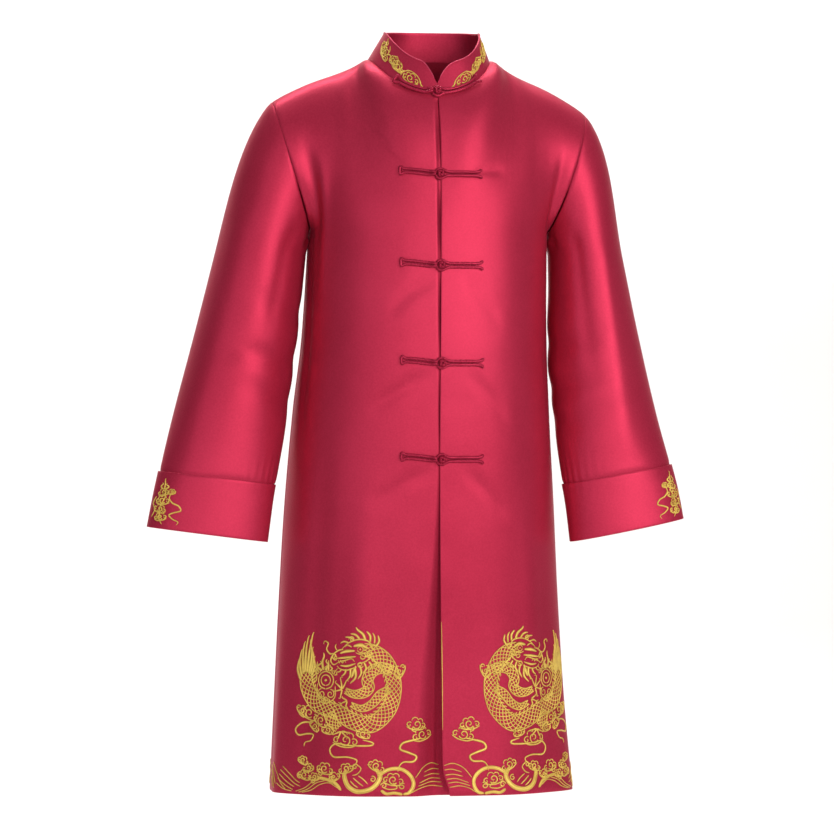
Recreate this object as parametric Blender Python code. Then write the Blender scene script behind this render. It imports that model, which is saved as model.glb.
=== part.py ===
"""A long satin tang suit jacket, filled out as it is when worn, with nobody in it.

The pieces are the ones a maker cuts and sews: two fronts, a back, two sleeves, two turned
cuffs, a stand collar and five frog fastenings. Each piece of cloth is a thin wall on a
surface that short tables of sizes describe. Metres, +Z up, the front faces -Y. The origin
is the middle of the neck's base, level with the points where the shoulders carry the coat.
X is positive on the wearer's left.
"""

import math

import bmesh
import bpy
from mathutils import Vector

# Cloth
BODY_WALL = 0.0016
COLLAR_WALL = 0.0024
CUFF_WALL = 0.0018
SEAM_GAP = 0.0003
TINY = 0.001  # step for the surfaces' slopes
ROUNDNESS = 0.87  # power of the sine and cosine of a body ring, 1 for an ellipse

# Levels and the neck
ARMPIT_Z = -0.235
NECK_HALF = 0.085
NECK_FRONT = 0.092
NECK_BACK = 0.052
NECK_RISE = 0.005  # the neck seam at the shoulders and the nape stands above the origin
NECK_DROP = 0.046
NECK_SCOOP = 1.7  # power of the front neckline's fall, more for a deeper pit with flatter sides
NECK_SHARE = 1 / 3  # share of a panel's top edge that is neckline, the rest is shoulder

# The body's rings from the hem to the armpit, as distances from the axis
BODY_COLUMNS = ("z", "right", "left", "front", "back")
BODY_RINGS = (
    (-1.014, 0.221, 0.201, 0.128, 0.140),
    (-0.895, 0.216, 0.190, 0.128, 0.132),
    (-0.760, 0.210, 0.182, 0.130, 0.122),
    (-0.620, 0.202, 0.176, 0.132, 0.112),
    (-0.484, 0.190, 0.169, 0.134, 0.104),
    (-0.386, 0.178, 0.166, 0.134, 0.101),
    (ARMPIT_Z, 0.168, 0.168, 0.126, 0.104),
)
HEM_Z = BODY_RINGS[0][0]

# The armholes and shoulders, for the wearer's right (-1) and left (+1)
SHOULDER_HALF = 0.221
SHOULDER_DROP = {-1: 0.055, 1: 0.068}
# Shares of the way along the shoulder, and of its drop there
SHOULDER_LINE = ((0, 0), (0.10, 0.13), (0.25, 0.27), (0.60, 0.55), (0.85, 0.81), (1, 1))
ARMHOLE_REACH = 0.060  # how far the armhole swings forward and back of the shoulder seam
ARMHOLE_NARROWING = 1.2
CHEST_TILT = math.radians(25)  # lean of the front at the pit of the neck
NAPE_TILT = math.radians(35)
CHEST_FULLNESS = 0.4  # how much straighter a column rises from the armpit under the shoulder
SHOULDER_FULLNESS = 1.5  # pull of a column's top over the shoulder, in depths of the body
CORNER_TURN = math.radians(45)  # at the neck's side the cloth runs up between inwards and backwards
CORNER_SHARE = 0.45  # share of the shoulder over which that turn fades

# The sleeves' rings from the upper arm to the end, as distances out from the body's axis
SLEEVE_COLUMNS = ("z", "inner", "outer", "front", "back")
SLEEVE_RINGS = {
    -1: (
        (-0.269, 0.177, 0.300, 0.066, 0.070),
        (-0.386, 0.190, 0.330, 0.072, 0.060),
        (-0.504, 0.208, 0.361, 0.078, 0.040),
        (-0.602, 0.225, 0.385, 0.083, -0.003),
        (-0.656, 0.233, 0.396, 0.086, -0.014),
    ),
    1: (
        (-0.269, 0.1755, 0.2755, 0.066, 0.070),
        (-0.386, 0.1765, 0.298, 0.072, 0.060),
        (-0.504, 0.178, 0.322, 0.078, 0.040),
        (-0.602, 0.190, 0.3435, 0.083, -0.003),
        (-0.652, 0.195, 0.352, 0.086, -0.014),
    ),
}
CUFF_SLOPE = {-1: 0.13, 1: 0.20}  # rise of the cuff's edge from its inner to its outer side
CAP_SHARE = 0.38  # share of a sleeve's rows above the upper arm
CUFF_DEPTH = 0.078
CUFF_STEP = 0.0005  # gap between the sleeve and the cuff turned back over it

# The opening down the front
OVERLAP = 0.015  # the right front runs on under the left one
LAP_DEPTH = 0.0026  # from the left front's outer face down to the right front's
LAP_TOP_Z = -0.066
LAP_START_Z = -0.047
LAP_BELLY = 0.0022  # how much deeper it lies half-way between two frogs
LAP_WIDTH = 0.010  # width of the right front that bends back under the left one
LAP_HEM_GROWTH = 0.028
EDGE_SWAY = 0.0022  # the free edge wanders a little between the frogs
EDGE_SWAY_LENGTH = 0.16
EDGE_CORNER = 0.010  # rounding of the hem's corner
EDGE_CORNER_HEIGHT = 0.055
EDGE_EASE = 0.05  # width of a front that moves with its edge
HEM_FALL = 0.011  # how much further back the right edge hangs at the hem
FALL_TOP_Z = -0.560

# Frog fastenings
FROG_LEVELS = (None, -0.160, -0.286, -0.420, -0.552)  # the first one follows the neckline
CORD_RADIUS = 0.0020
CORD_SPACING = 0.0044
STRAP_LENGTH = {-1: 0.054, 1: 0.058}
STRAP_LIFT = 0.004  # the knot's strap rises a little towards its end
KNOT_RADIUS = 0.0056
KNOT_HEIGHT = 0.0072
LOOP_RADIUS = 0.0068
LOOP_LIFT = 0.0008
NECK_FROG_LIFT = 0.0007  # clears the corner between the collar and the fronts
NECK_FROG_TILT = (0.36, 0.9)  # upward part of its outward direction at the opening, and its growth

# Collar
COLLAR_HEIGHT = 0.042
COLLAR_END_HEIGHT = 0.0125
COLLAR_ROUNDING = 0.030
COLLAR_END_POWER = 2.2  # shape of the rounded end, 1 for a straight slant
FRONT_PART = 0.62  # share of the collar's length that lies along the fronts
COLLAR_SWAY = 0.005  # the top edge stands a little towards the wearer's left
COLLAR_LEAN = {"front": math.radians(14), "side": math.radians(26), "back": math.radians(8)}

RED_SATIN = (0.52, 0.035, 0.085)
CORD_SATIN = (0.36, 0.018, 0.055)


def smooth(x):
    """0 below 0, 1 above 1, and a smooth step between them."""
    x = min(max(x, 0.0), 1.0)
    return x * x * (3 - 2 * x)


def row_at(rows, z):
    """The table's row at height z, on a smooth curve through its rows."""
    rows = sorted(rows)
    last = len(rows) - 1
    i = next((k for k in range(last) if z <= rows[k + 1][0]), last - 1)
    span = rows[i + 1][0] - rows[i][0]
    t = (z - rows[i][0]) / span

    def slope(k, column):
        a, b = rows[max(k - 1, 0)], rows[min(k + 1, last)]
        return (b[column] - a[column]) / (b[0] - a[0])

    found = []
    for column in range(len(rows[0])):
        start, end = rows[i][column], rows[i + 1][column]
        found.append(hermite(start, end, slope(i, column) * span, slope(i + 1, column) * span, t))
    return found


def hermite(start, end, start_pull, end_pull, t):
    """A cubic from start to end with these tangents, for numbers or vectors."""
    return (
        start * (2 * t**3 - 3 * t**2 + 1)
        + start_pull * (t**3 - 2 * t**2 + t)
        + end * (3 * t**2 - 2 * t**3)
        + end_pull * (t**3 - t**2)
    )


def rounded(x):
    """A sine or cosine raised to the rings' power, with its sign kept."""
    return math.copysign(abs(x) ** ROUNDNESS, x)


def ring_point(side, face, u, z):
    """A point of the body below the armpit: u is 0 on the centre line and 1 on the side seam."""
    row = dict(zip(BODY_COLUMNS, row_at(BODY_RINGS, z)))
    angle = u * math.pi / 2
    across = row["left" if side > 0 else "right"]
    deep = -row["front"] if face < 0 else row["back"]
    x = side * across * rounded(math.sin(angle))
    y = deep * rounded(math.cos(angle))
    return Vector((x, y, z)) + hem_flutes(side, face, u, z)


# Soft flutes that open towards the hem: place round a half panel, width, depth
FLUTES = {
    (-1, -1): ((0.30, 0.10, 0.0030), (0.62, 0.12, -0.0040), (0.86, 0.09, 0.0035)),
    (1, -1): ((0.26, 0.10, 0.0025), (0.55, 0.12, -0.0035), (0.82, 0.10, 0.0030)),
    (-1, 1): ((0.18, 0.12, 0.0045), (0.48, 0.13, -0.0050), (0.78, 0.11, 0.0045)),
    (1, 1): ((0.22, 0.12, 0.0050), (0.52, 0.12, -0.0045), (0.80, 0.11, 0.0040)),
}
FLUTE_TOP_Z = -0.620


def hem_flutes(side, face, u, z):
    grown = smooth((FLUTE_TOP_Z - z) / (FLUTE_TOP_Z - HEM_Z))
    push = sum(depth * math.exp(-(((u - at) / width) ** 2)) for at, width, depth in FLUTES[side, face])
    angle = u * math.pi / 2
    return grown * push * Vector((side * math.sin(angle), face * math.cos(angle), 0))


def armhole(side, turn):
    """The armhole seam: turn is 0 at the armpit, a half at the shoulder, 1 back at the armpit."""
    angle = 2 * math.pi * turn
    rise = (1 - math.cos(angle)) / 2
    armpit = row_at(BODY_RINGS, ARMPIT_Z)[2 if side > 0 else 1]
    x = SHOULDER_HALF - (SHOULDER_HALF - armpit) * (1 - rise) ** ARMHOLE_NARROWING
    y = -ARMHOLE_REACH * math.sin(angle)
    z = ARMPIT_Z + (-SHOULDER_DROP[side] - ARMPIT_Z) * rise
    return Vector((side * x, y, z))


def neckline(side, face, share):
    """The neck seam: share is 0 on the centre line and 1 at the shoulder seam."""
    angle = share * math.pi / 2
    x = side * NECK_HALF * rounded(math.sin(angle))
    if face < 0:
        z = NECK_RISE - (NECK_DROP + NECK_RISE) * max(math.cos(angle), 0.0) ** NECK_SCOOP
        return Vector((x, -NECK_FRONT * rounded(math.cos(angle)), z))
    return Vector((x, NECK_BACK * rounded(math.cos(angle)), NECK_RISE))


def top_edge(side, face, u):
    """The upper edge of a half panel: the neckline, then the shoulder seam."""
    if u <= NECK_SHARE:
        return neckline(side, face, u / NECK_SHARE)
    out = (u - NECK_SHARE) / (1 - NECK_SHARE)
    x = NECK_HALF + (SHOULDER_HALF - NECK_HALF) * out
    fall = row_at(SHOULDER_LINE, out)[1] * (NECK_RISE + SHOULDER_DROP[side])
    return Vector((side * x, 0, NECK_RISE - fall))


def chest_point(side, face, u, rise):
    """A point of the body between the armpit ring (rise 0) and the top edge (rise 1)."""

    def column(at):
        low, high = ring_point(side, face, at, ARMPIT_Z), top_edge(side, face, at)
        over = smooth(at / NECK_SHARE)
        past = (at - NECK_SHARE) / (1 - NECK_SHARE)
        turned = CORNER_TURN * over * (1 - smooth(past / CORNER_SHARE))
        tilt = CHEST_TILT if face < 0 else NAPE_TILT
        tilt += (math.pi / 2 - tilt) * over
        up, back = high.z - low.z, abs(high.y - low.y)
        reach = up * (1 - over) + SHOULDER_FULLNESS * back * over
        rising = (low - ring_point(side, face, at, ARMPIT_Z - TINY)) / TINY
        start_pull = (1 + CHEST_FULLNESS * over) * up * rising
        level = Vector((-side * math.sin(turned), -face * math.cos(turned), 0))
        end_pull = reach * (math.sin(tilt) * level + math.cos(tilt) * Vector((0, 0, 1)))
        return hermite(low, high, start_pull, end_pull, rise)

    turn = rise / 2 if face < 0 else 1 - rise / 2
    return column(u) + (armhole(side, turn) - column(1.0)) * max(u, 0.0) ** 3


def panel_point(side, face, u, v):
    """The outer face of a half panel: v is 0 at the hem, 1 at the armpit and 2 at the top edge."""
    if v <= 1:
        return ring_point(side, face, u, HEM_Z + (ARMPIT_Z - HEM_Z) * v)
    return chest_point(side, face, u, v - 1)


def opening_edge(z):
    """X of the left front's free edge, which wanders a little between the frogs."""
    sway = EDGE_SWAY * math.sin((z + 0.30) / EDGE_SWAY_LENGTH) * smooth(-z / 0.12)
    corner = EDGE_CORNER * smooth((HEM_Z + EDGE_CORNER_HEIGHT - z) / EDGE_CORNER_HEIGHT) ** 2
    return sway + corner


def lap_depth(z):
    """How far the right front's edge lies behind the left front's outer face."""
    under = LAP_DEPTH * smooth((LAP_START_Z - z) / 0.014)
    frogs = [-NECK_DROP, *FROG_LEVELS[1:]]
    gaps = [(a, b) for a, b in zip(frogs, frogs[1:]) if b < z < a]
    between = sum(LAP_BELLY * math.sin(math.pi * (a - z) / (a - b)) ** 2 for a, b in gaps)
    return under + between + HEM_FALL * smooth((FALL_TOP_Z - z) / (FALL_TOP_Z - HEM_Z))


def front_point(side, u, v):
    """A front panel's outer face. The right one's u runs below 0, on under the left one."""
    point = panel_point(side, -1, u, v)
    if side > 0:
        point.x += opening_edge(point.z) * (1 - smooth(point.x / EDGE_EASE))
        return point
    width = LAP_WIDTH + LAP_HEM_GROWTH * smooth((FALL_TOP_Z - point.z) / (FALL_TOP_Z - HEM_Z))
    edge = OVERLAP * smooth((LAP_TOP_Z - point.z) / 0.03) - SEAM_GAP
    point.x += (edge + opening_edge(point.z)) * (1 - smooth(-point.x / EDGE_EASE))
    point.y += lap_depth(point.z) * (1 - smooth(-point.x / width))
    return point


def sleeve_ring(side, turn, z):
    """A point of the sleeve below the upper arm, on a ring that tilts as the cuff's edge does."""
    row = dict(zip(SLEEVE_COLUMNS, row_at(SLEEVE_RINGS[side], z)))
    angle = 2 * math.pi * turn
    middle, half = (row["inner"] + row["outer"]) / 2, (row["outer"] - row["inner"]) / 2
    y_middle, y_half = (row["back"] - row["front"]) / 2, (row["front"] + row["back"]) / 2
    x = middle - half * math.cos(angle)
    y = y_middle - y_half * math.sin(angle)
    top, end = SLEEVE_RINGS[side][0][0], SLEEVE_RINGS[side][-1][0]
    tilt = CUFF_SLOPE[side] * smooth((top - z) / (top - end))
    return Vector((side * x, y, z + (x - middle) * tilt)) + elbow_folds(side, turn, z)


# Folds across the inside of each sleeve: height, turn, reach round the sleeve, depth
ELBOW_FOLDS = {
    -1: ((-0.352, 0.06, 0.16, -0.0022), (-0.418, 0.10, 0.18, -0.0030), (-0.470, 0.05, 0.15, -0.0020)),
    1: ((-0.395, 0.07, 0.17, -0.0026), (-0.452, 0.04, 0.16, -0.0034), (-0.500, 0.09, 0.15, -0.0022)),
}
FOLD_WIDTH = 0.016


def elbow_folds(side, turn, z):
    push = 0.0
    for level, at, reach, depth in ELBOW_FOLDS[side]:
        away = min(abs(turn - at), 1 - abs(turn - at))
        slant = level + 0.10 * away
        push += depth * math.exp(-(((z - slant) / FOLD_WIDTH) ** 2) - (away / reach) ** 2)
    angle = 2 * math.pi * turn
    return push * Vector((-side * math.cos(angle), -math.sin(angle), 0))


def sleeve_point(side, turn, v):
    """The sleeve's outer face: turn as for the armhole, v from 0 at the armhole to 1 at its end."""
    top, end = SLEEVE_RINGS[side][0][0], SLEEVE_RINGS[side][-1][0]
    if v >= CAP_SHARE:
        return sleeve_ring(side, turn, top + (end - top) * (v - CAP_SHARE) / (1 - CAP_SHARE))
    high = (1 - math.cos(2 * math.pi * turn)) / 2
    away = Vector((side * (0.10 + 0.54 * high), 0, 0.23 * high - 1)).normalized()
    start = armhole(side, turn) + SEAM_GAP * Vector((side, 0, 0)) + SEAM_GAP * away
    low = sleeve_ring(side, turn, top)
    along = (sleeve_ring(side, turn, top - 0.01) - low).normalized()
    reach = (low - start).length
    return hermite(start, low, 0.9 * reach * away, reach * along, v / CAP_SHARE)


def normal_of(surface, u, v, facing):
    """The surface's outward normal, from two differences that stay inside it."""
    du = surface(u + TINY, v) - surface(u - TINY, v)
    dv = surface(u, v + TINY) - surface(u, v - TINY)
    return facing * du.cross(dv).normalized()


def bounded(surface, low_u, high_u, low_v, high_v):
    """The surface with its coordinates held inside these limits, so that differences can use it."""
    return lambda u, v: surface(min(max(u, low_u), high_u), min(max(v, low_v), high_v))


def steps(low, high, count):
    return [low + (high - low) * k / count for k in range(count + 1)]


def satin(name, colour):
    made = bpy.data.materials.get(name) or bpy.data.materials.new(name)
    made.use_nodes = True
    made.diffuse_color = (*colour, 1)
    shader = made.node_tree.nodes["Principled BSDF"]
    shader.inputs["Base Color"].default_value = (*colour, 1)
    shader.inputs["Roughness"].default_value = 0.4
    shader.inputs["Metallic"].default_value = 0.0
    return made


def add_object(name, mesh, material):
    mesh.materials.append(material)
    mesh.shade_smooth()
    made = bpy.data.objects.new(name, mesh)
    garment.objects.link(made)
    return made


def cloth(name, surface, across, up, wall, facing, joined=False, seam_y=0, mitre=None, lift=0.0):
    """A piece of cloth: a grid on the surface, thickened inwards to a closed wall.

    across and up are the surface coordinates of the grid's lines. joined closes a tube.
    seam_y keeps a front (-1) or back (+1) panel clear of the seams in the plane of Y 0.
    mitre gives the inward direction on the first row, where two walls meet at an angle.
    lift moves the wall out from the surface, for cloth that lies on other cloth.
    """
    held = bounded(surface, -9 if joined else across[0], 9 if joined else across[-1], up[0], up[-1])
    shape = bmesh.new()
    bmesh.ops.create_grid(shape, x_segments=len(across) - 1, y_segments=len(up) - 1, size=0.5)
    place = shape.verts.layers.float_vector.new("place")
    for vert in shape.verts:
        u = across[round((vert.co.x + 0.5) * (len(across) - 1))]
        v = up[round((vert.co.y + 0.5) * (len(up) - 1))]
        vert[place] = (u, v, 0)
        vert.co = held(u, v)
    if joined:
        bmesh.ops.remove_doubles(shape, verts=shape.verts, dist=1e-5)
    outer = shape.verts[:]
    made = bmesh.ops.extrude_face_region(shape, geom=shape.faces[:], use_keep_orig=True)
    inner = [item for item in made["geom"] if isinstance(item, bmesh.types.BMVert)]
    for verts, depth in ((outer, lift), (inner, lift - wall)):
        for vert in verts:
            u, v, _ = vert[place]
            out = normal_of(held, u, v, facing)
            if mitre and v == up[0]:
                out = mitre(u, out)
            vert.co = held(u, v) + depth * out
            if seam_y:
                vert.co.y = seam_y * max(seam_y * vert.co.y, SEAM_GAP / 2)
    bmesh.ops.recalc_face_normals(shape, faces=shape.faces)
    mesh = bpy.data.meshes.new(name)
    shape.to_mesh(mesh)
    shape.free()
    return add_object(name, mesh, satin("red_satin", RED_SATIN))


CHEST_ROWS = 10  # rows of a panel above the armpit, which the sleeves' columns meet
NECK_COLUMNS = {-1: 7, 1: 4}  # columns of a half panel along the neck, front (-1) and back (+1)
SHOULDER_COLUMNS = {-1: 8, 1: 7}


LAP_COLUMN = 0.031  # a column of the right front that lies just inside the left front's edge


def half_columns(face):
    neck = steps(0, NECK_SHARE, NECK_COLUMNS[face])
    return neck + steps(NECK_SHARE, 1, SHOULDER_COLUMNS[face])[1:]


def front(name, side):
    columns = half_columns(-1)
    if side < 0:
        columns.insert(1, LAP_COLUMN)
    return cloth(
        name,
        lambda u, v: front_point(side, u, v),
        columns,
        steps(0, 1, 13) + steps(1, 2, CHEST_ROWS)[1:],
        BODY_WALL,
        facing=side,
        seam_y=-1,
    )


def back(name):
    half = half_columns(1)
    return cloth(
        name,
        lambda u, v: panel_point(-1 if u < 0 else 1, 1, abs(u), v),
        [-u for u in reversed(half)] + half[1:],
        steps(0, 1, 13) + steps(1, 2, CHEST_ROWS)[1:],
        BODY_WALL,
        facing=-1,
        seam_y=1,
    )


def body_normal(side, turn):
    """The body's outward normal on the armhole seam."""
    face = -1 if turn < 0.5 else 1
    rise = 2 * turn if face < 0 else 2 - 2 * turn
    surface = bounded(lambda u, v: panel_point(side, face, u, v), 0, 1, 1, 2)
    return normal_of(surface, 1, 1 + rise, -side * face)


def sleeve_mitre(side):
    """Inward direction at the sleeve's head: the body's, where the two walls turn a corner."""

    def direction(turn, own):
        body = body_normal(side, turn % 1.0)
        return own.lerp(body, smooth(own.dot(body) / 0.4)).normalized()

    return direction


def cuff_rows(side):
    """The sleeve's rows under the cuff, which the cuff shares."""
    top, end = SLEEVE_RINGS[side][0][0], SLEEVE_RINGS[side][-1][0]
    return steps(1 - (1 - CAP_SHARE) * CUFF_DEPTH / (top - end), 1, 3)


def sleeve(name, side):
    rows = cuff_rows(side)
    return cloth(
        name,
        lambda turn, v: sleeve_point(side, turn, v),
        steps(0, 1, 2 * CHEST_ROWS),
        steps(0, CAP_SHARE, 8) + steps(CAP_SHARE, rows[0], 9)[1:] + rows[1:],
        BODY_WALL,
        facing=-side,
        joined=True,
        mitre=sleeve_mitre(side),
    )


def cuff(name, side):
    """The cuff is turned back over the sleeve, so it is the sleeve's points moved out."""
    return cloth(
        name,
        lambda turn, v: sleeve_point(side, turn, v),
        steps(0, 1, 2 * CHEST_ROWS),
        cuff_rows(side),
        CUFF_WALL,
        facing=-side,
        joined=True,
        lift=CUFF_STEP + CUFF_WALL,
    )


def collar_place(around):
    """Side, face and share of the neck seam, from the right front (0) by the nape (0.5) to the left (1)."""
    side = -1 if around < 0.5 else 1
    from_nape = abs(around - 0.5) * 2
    if from_nape > 1 - FRONT_PART:
        return side, -1, (1 - from_nape) / FRONT_PART
    return side, 1, from_nape / (1 - FRONT_PART)


def sewn_neckline(side, face, share):
    """The neck seam between the panels' own corners, so that the collar meets them all along."""
    place = share * NECK_COLUMNS[face]
    k = min(int(place), NECK_COLUMNS[face] - 1)
    low, high = (neckline(side, face, n / NECK_COLUMNS[face]) for n in (k, k + 1))
    return low.lerp(high, place - k)


def collar_point(around, height):
    side, face, share = collar_place(around)
    base = sewn_neckline(side, face, share) + Vector((0, 0, SEAM_GAP))
    angle = share * math.pi / 2
    out = Vector((side * math.sin(angle), face * math.cos(angle), 0)).normalized()
    end_lean = COLLAR_LEAN["front" if face < 0 else "back"]
    lean = end_lean + (COLLAR_LEAN["side"] - end_lean) * math.sin(angle) ** 2
    tall = COLLAR_HEIGHT
    if face < 0:
        from_end = (base - neckline(side, -1, 0)).length
        left = max(1 - from_end / COLLAR_ROUNDING, 0.0)
        rounded_end = 1 - left**COLLAR_END_POWER
        tall = COLLAR_END_HEIGHT + (COLLAR_HEIGHT - COLLAR_END_HEIGHT) * rounded_end
    grow = tall * height * (math.cos(lean) * Vector((0, 0, 1)) - math.sin(lean) * out)
    gap = SEAM_GAP * (1 - smooth(abs(base.x) / 0.01)) * side * Vector((1, 0, 0))
    sway = COLLAR_SWAY * grow.z / COLLAR_HEIGHT * smooth(abs(base.x) / 0.04) * Vector((1, 0, 0))
    return base + grow + gap + sway


def level_out(_, own):
    """The collar's direction on the neck seam, turned level so that it stays off the panels."""
    return Vector((own.x, own.y, -0.15)).normalized()


def collar(name):
    front_half = steps(0, FRONT_PART / 2, NECK_COLUMNS[-1])
    rounding = [front_half[1] * share for share in (0.12, 0.3, 0.55)] + [1.5 * front_half[1]]
    half = sorted(front_half + rounding) + steps(FRONT_PART / 2, 0.5, NECK_COLUMNS[1])[1:]
    across = half + [1 - place for place in reversed(half[:-1])]
    return cloth(name, collar_point, across, steps(0, 1, 3), COLLAR_WALL, facing=-1, mitre=level_out)


def find_on_front(side, x, z):
    """(u, v) of the front's point at this X and height, by halving each in turn."""
    u, v = 0.1, 1.0
    for _ in range(6):
        low, high = 0.0, 2.0
        for _ in range(24):
            v = (low + high) / 2
            low, high = (v, high) if front_point(side, u, v).z < z else (low, v)
        low, high = 0.0, 0.6
        for _ in range(24):
            u = (low + high) / 2
            low, high = (u, high) if side * front_point(side, u, v).x < side * x else (low, u)
    return u, v


def panel_track(level):
    """A frog's place on the fronts: away is X from its middle, up is along the cloth."""

    def place(away, up):
        side = 1 if away > 0 else -1
        lift = STRAP_LIFT * smooth(-away / 0.05)
        reach = max(abs(away), 0.0155) if side < 0 else max(away, 0.012)
        u, v = find_on_front(side, side * reach, level + up + lift)
        surface = bounded(lambda a, b: front_point(side, a, b), 0, 1, 0, 2)
        point, out = surface(u, v), normal_of(surface, u, v, side)
        return point + Vector((away - side * reach, 0, 0)), out

    return place


def neck_track(away, up):
    """The first frog's place, along the neck seam between the collar and the fronts."""
    side = 1 if away > 0 else -1
    share = 2 / math.pi * math.asin((min(abs(away), 0.08) / NECK_HALF) ** (1 / ROUNDNESS))
    seam = neckline(side, -1, share)
    ahead = neckline(side, -1, share + 0.01) - neckline(side, -1, max(share - 0.01, 0))
    angle = share * math.pi / 2
    out = Vector((side * math.sin(angle), -math.cos(angle), NECK_FROG_TILT[0] + NECK_FROG_TILT[1] * share))
    out = (out - out.project(ahead)).normalized()
    rise = (out.cross(ahead) * side).normalized()
    lift = NECK_FROG_LIFT * (1 + 4.6 * (away / STRAP_LENGTH[1]) ** 2)
    return seam + lift * out + up * rise, out


def cord(name, points):
    """A satin rouleau cord through these points, as a curve with a round bevel."""
    data = bpy.data.curves.new(name, "CURVE")
    data.dimensions = "3D"
    data.bevel_depth = CORD_RADIUS
    data.bevel_resolution = 2
    data.use_fill_caps = True
    spline = data.splines.new("POLY")
    spline.points.add(len(points) - 1)
    for made, point in zip(spline.points, points):
        made.co = (*point, 1)
    data.materials.append(satin("cord_satin", CORD_SATIN))
    made = bpy.data.objects.new(name, data)
    garment.objects.link(made)
    return made


def strap_points(track, plan):
    """Points of a cord: plan lists (away, up, height) over the cloth at the cord's middle."""
    found = []
    for away, up, height in plan:
        point, out = track(away, up)
        found.append(point + (CORD_RADIUS + SEAM_GAP + height) * out)
    return found


def knot_strap_plan():
    """The knot's strap: both cords rise to the knot, and a short bar joins them at the end."""
    end, half = STRAP_LENGTH[-1], CORD_SPACING / 2
    over = KNOT_HEIGHT - CORD_RADIUS - 0.0004
    rise = [(-0.0080, 0.6 * half, over), (-0.0105, 0.8 * half, 0.85 * over), (-0.0150, half, 0.2 * over)]
    run = [(-x, half, 0) for x in steps(0.019, end - 0.006, 4)]
    corner = [(-end + 0.003, 1.3 * half, 0), (-end, 2.1 * half, 0), (-end - 0.0015, 1.5 * half, 0)]
    upper = rise + run + corner
    return upper + [(away, -up, height) for away, up, height in reversed(upper)]


def loop_strap_plan():
    """The loop's strap: one cord round the knot, with both tails turned out at the end."""
    end, half = STRAP_LENGTH[1], CORD_SPACING / 2
    turn = [math.radians(degrees) for degrees in (180, 145, 110, 75, 45)]
    ring = [(LOOP_RADIUS * math.cos(a), LOOP_RADIUS * math.sin(a), LOOP_LIFT) for a in turn]
    run = [(0.0085, 1.25 * half, LOOP_LIFT)] + [(x, half, 0) for x in steps(0.0125, end - 0.008, 4)]
    tail = [(end - 0.003, 1.5 * half, 0), (end, 2.6 * half, 0)]
    upper = ring[1:] + run + tail
    return [(x, y, h) for x, y, h in reversed(upper)] + ring[:1] + [(x, -y, h) for x, y, h in upper]


def knot(name, centre, out):
    """The knotted ball: a sphere whose surface swells where the cord's turns cross."""
    shape = bmesh.new()
    bmesh.ops.create_uvsphere(shape, u_segments=12, v_segments=8, radius=KNOT_RADIUS)
    for vert in shape.verts:
        spin = math.atan2(vert.co.y, vert.co.x)
        tip = math.acos(max(-1.0, min(1.0, vert.co.z / KNOT_RADIUS)))
        vert.co *= 1 - 0.07 * (1 - math.cos(4 * spin + 2 * tip)) / 2 * math.sin(tip)
    mesh = bpy.data.meshes.new(name)
    shape.to_mesh(mesh)
    shape.free()
    made = add_object(name, mesh, satin("cord_satin", CORD_SATIN))
    made.location = centre
    made.rotation_euler = out.to_track_quat("Z", "Y").to_euler()
    return made


def frog(number, level):
    track = neck_track if level is None else panel_track(level)
    cord(f"frog_{number}_knot_strap", strap_points(track, knot_strap_plan()))
    cord(f"frog_{number}_loop_strap", strap_points(track, loop_strap_plan()))
    left, out_left = track(-1e-6, 0)
    right, out_right = track(1e-6, 0)
    out = (out_left + out_right).normalized()
    base = left if left.dot(out) > right.dot(out) else right
    knot(f"frog_{number}_knot", base + (SEAM_GAP + KNOT_HEIGHT) * out, out)


for old in list(bpy.data.objects):
    bpy.data.objects.remove(old)
garment = bpy.data.collections.new("tang_suit")
bpy.context.scene.collection.children.link(garment)

front("front_right", -1)
front("front_left", 1)
back("back")
for wearer_side, side_name in ((-1, "right"), (1, "left")):
    sleeve(f"sleeve_{side_name}", wearer_side)
    cuff(f"cuff_{side_name}", wearer_side)
collar("collar")
for number, level in enumerate(FROG_LEVELS, start=1):
    frog(number, level)
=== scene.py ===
# %% [markdown]
# # A long satin tang suit jacket
#
# This notebook dresses a packed frame of plain solids: every panel, cord and stitched motif
# is made again as the real cloth looks. The frame gives the places, in metres, with the
# origin in the middle of the neck's base, +Z up, the front towards -Y and +X on the
# wearer's left. Nothing here moves a piece of the frame.

# %% Load the frame
import math

import bmesh
import bpy
import numpy as np
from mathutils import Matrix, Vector


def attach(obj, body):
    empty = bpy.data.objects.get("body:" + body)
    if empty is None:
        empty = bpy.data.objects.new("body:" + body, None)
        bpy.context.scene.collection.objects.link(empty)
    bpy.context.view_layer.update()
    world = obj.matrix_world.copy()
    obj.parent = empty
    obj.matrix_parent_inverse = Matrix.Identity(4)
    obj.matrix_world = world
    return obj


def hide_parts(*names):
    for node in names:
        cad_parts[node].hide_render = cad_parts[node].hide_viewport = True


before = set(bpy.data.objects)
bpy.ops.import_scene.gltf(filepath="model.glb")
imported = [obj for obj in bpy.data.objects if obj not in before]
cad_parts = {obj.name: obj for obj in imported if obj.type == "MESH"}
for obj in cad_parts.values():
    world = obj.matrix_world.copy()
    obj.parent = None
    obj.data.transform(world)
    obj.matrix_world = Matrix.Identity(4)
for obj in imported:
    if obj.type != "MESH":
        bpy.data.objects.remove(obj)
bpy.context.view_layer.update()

# %% [markdown]
# ## Camera and studio
# The photo was taken from far off with a long lens, level with the middle of the jacket and
# a little from the wearer's right. A shop's photo like this has a white sweep behind it. One
# sheet, bent up at the back, serves as floor and backdrop, so no horizon line shows.

# %% Camera
PHOTO_WIDTH = 1.168  # metres across the photo at the jacket
CAMERA_FAR = 6.0
CAMERA_TURN = math.radians(-8)
AIM_HEIGHT = -0.494
AIM_ASIDE = -0.0154
SENSOR_MM = 36

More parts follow.
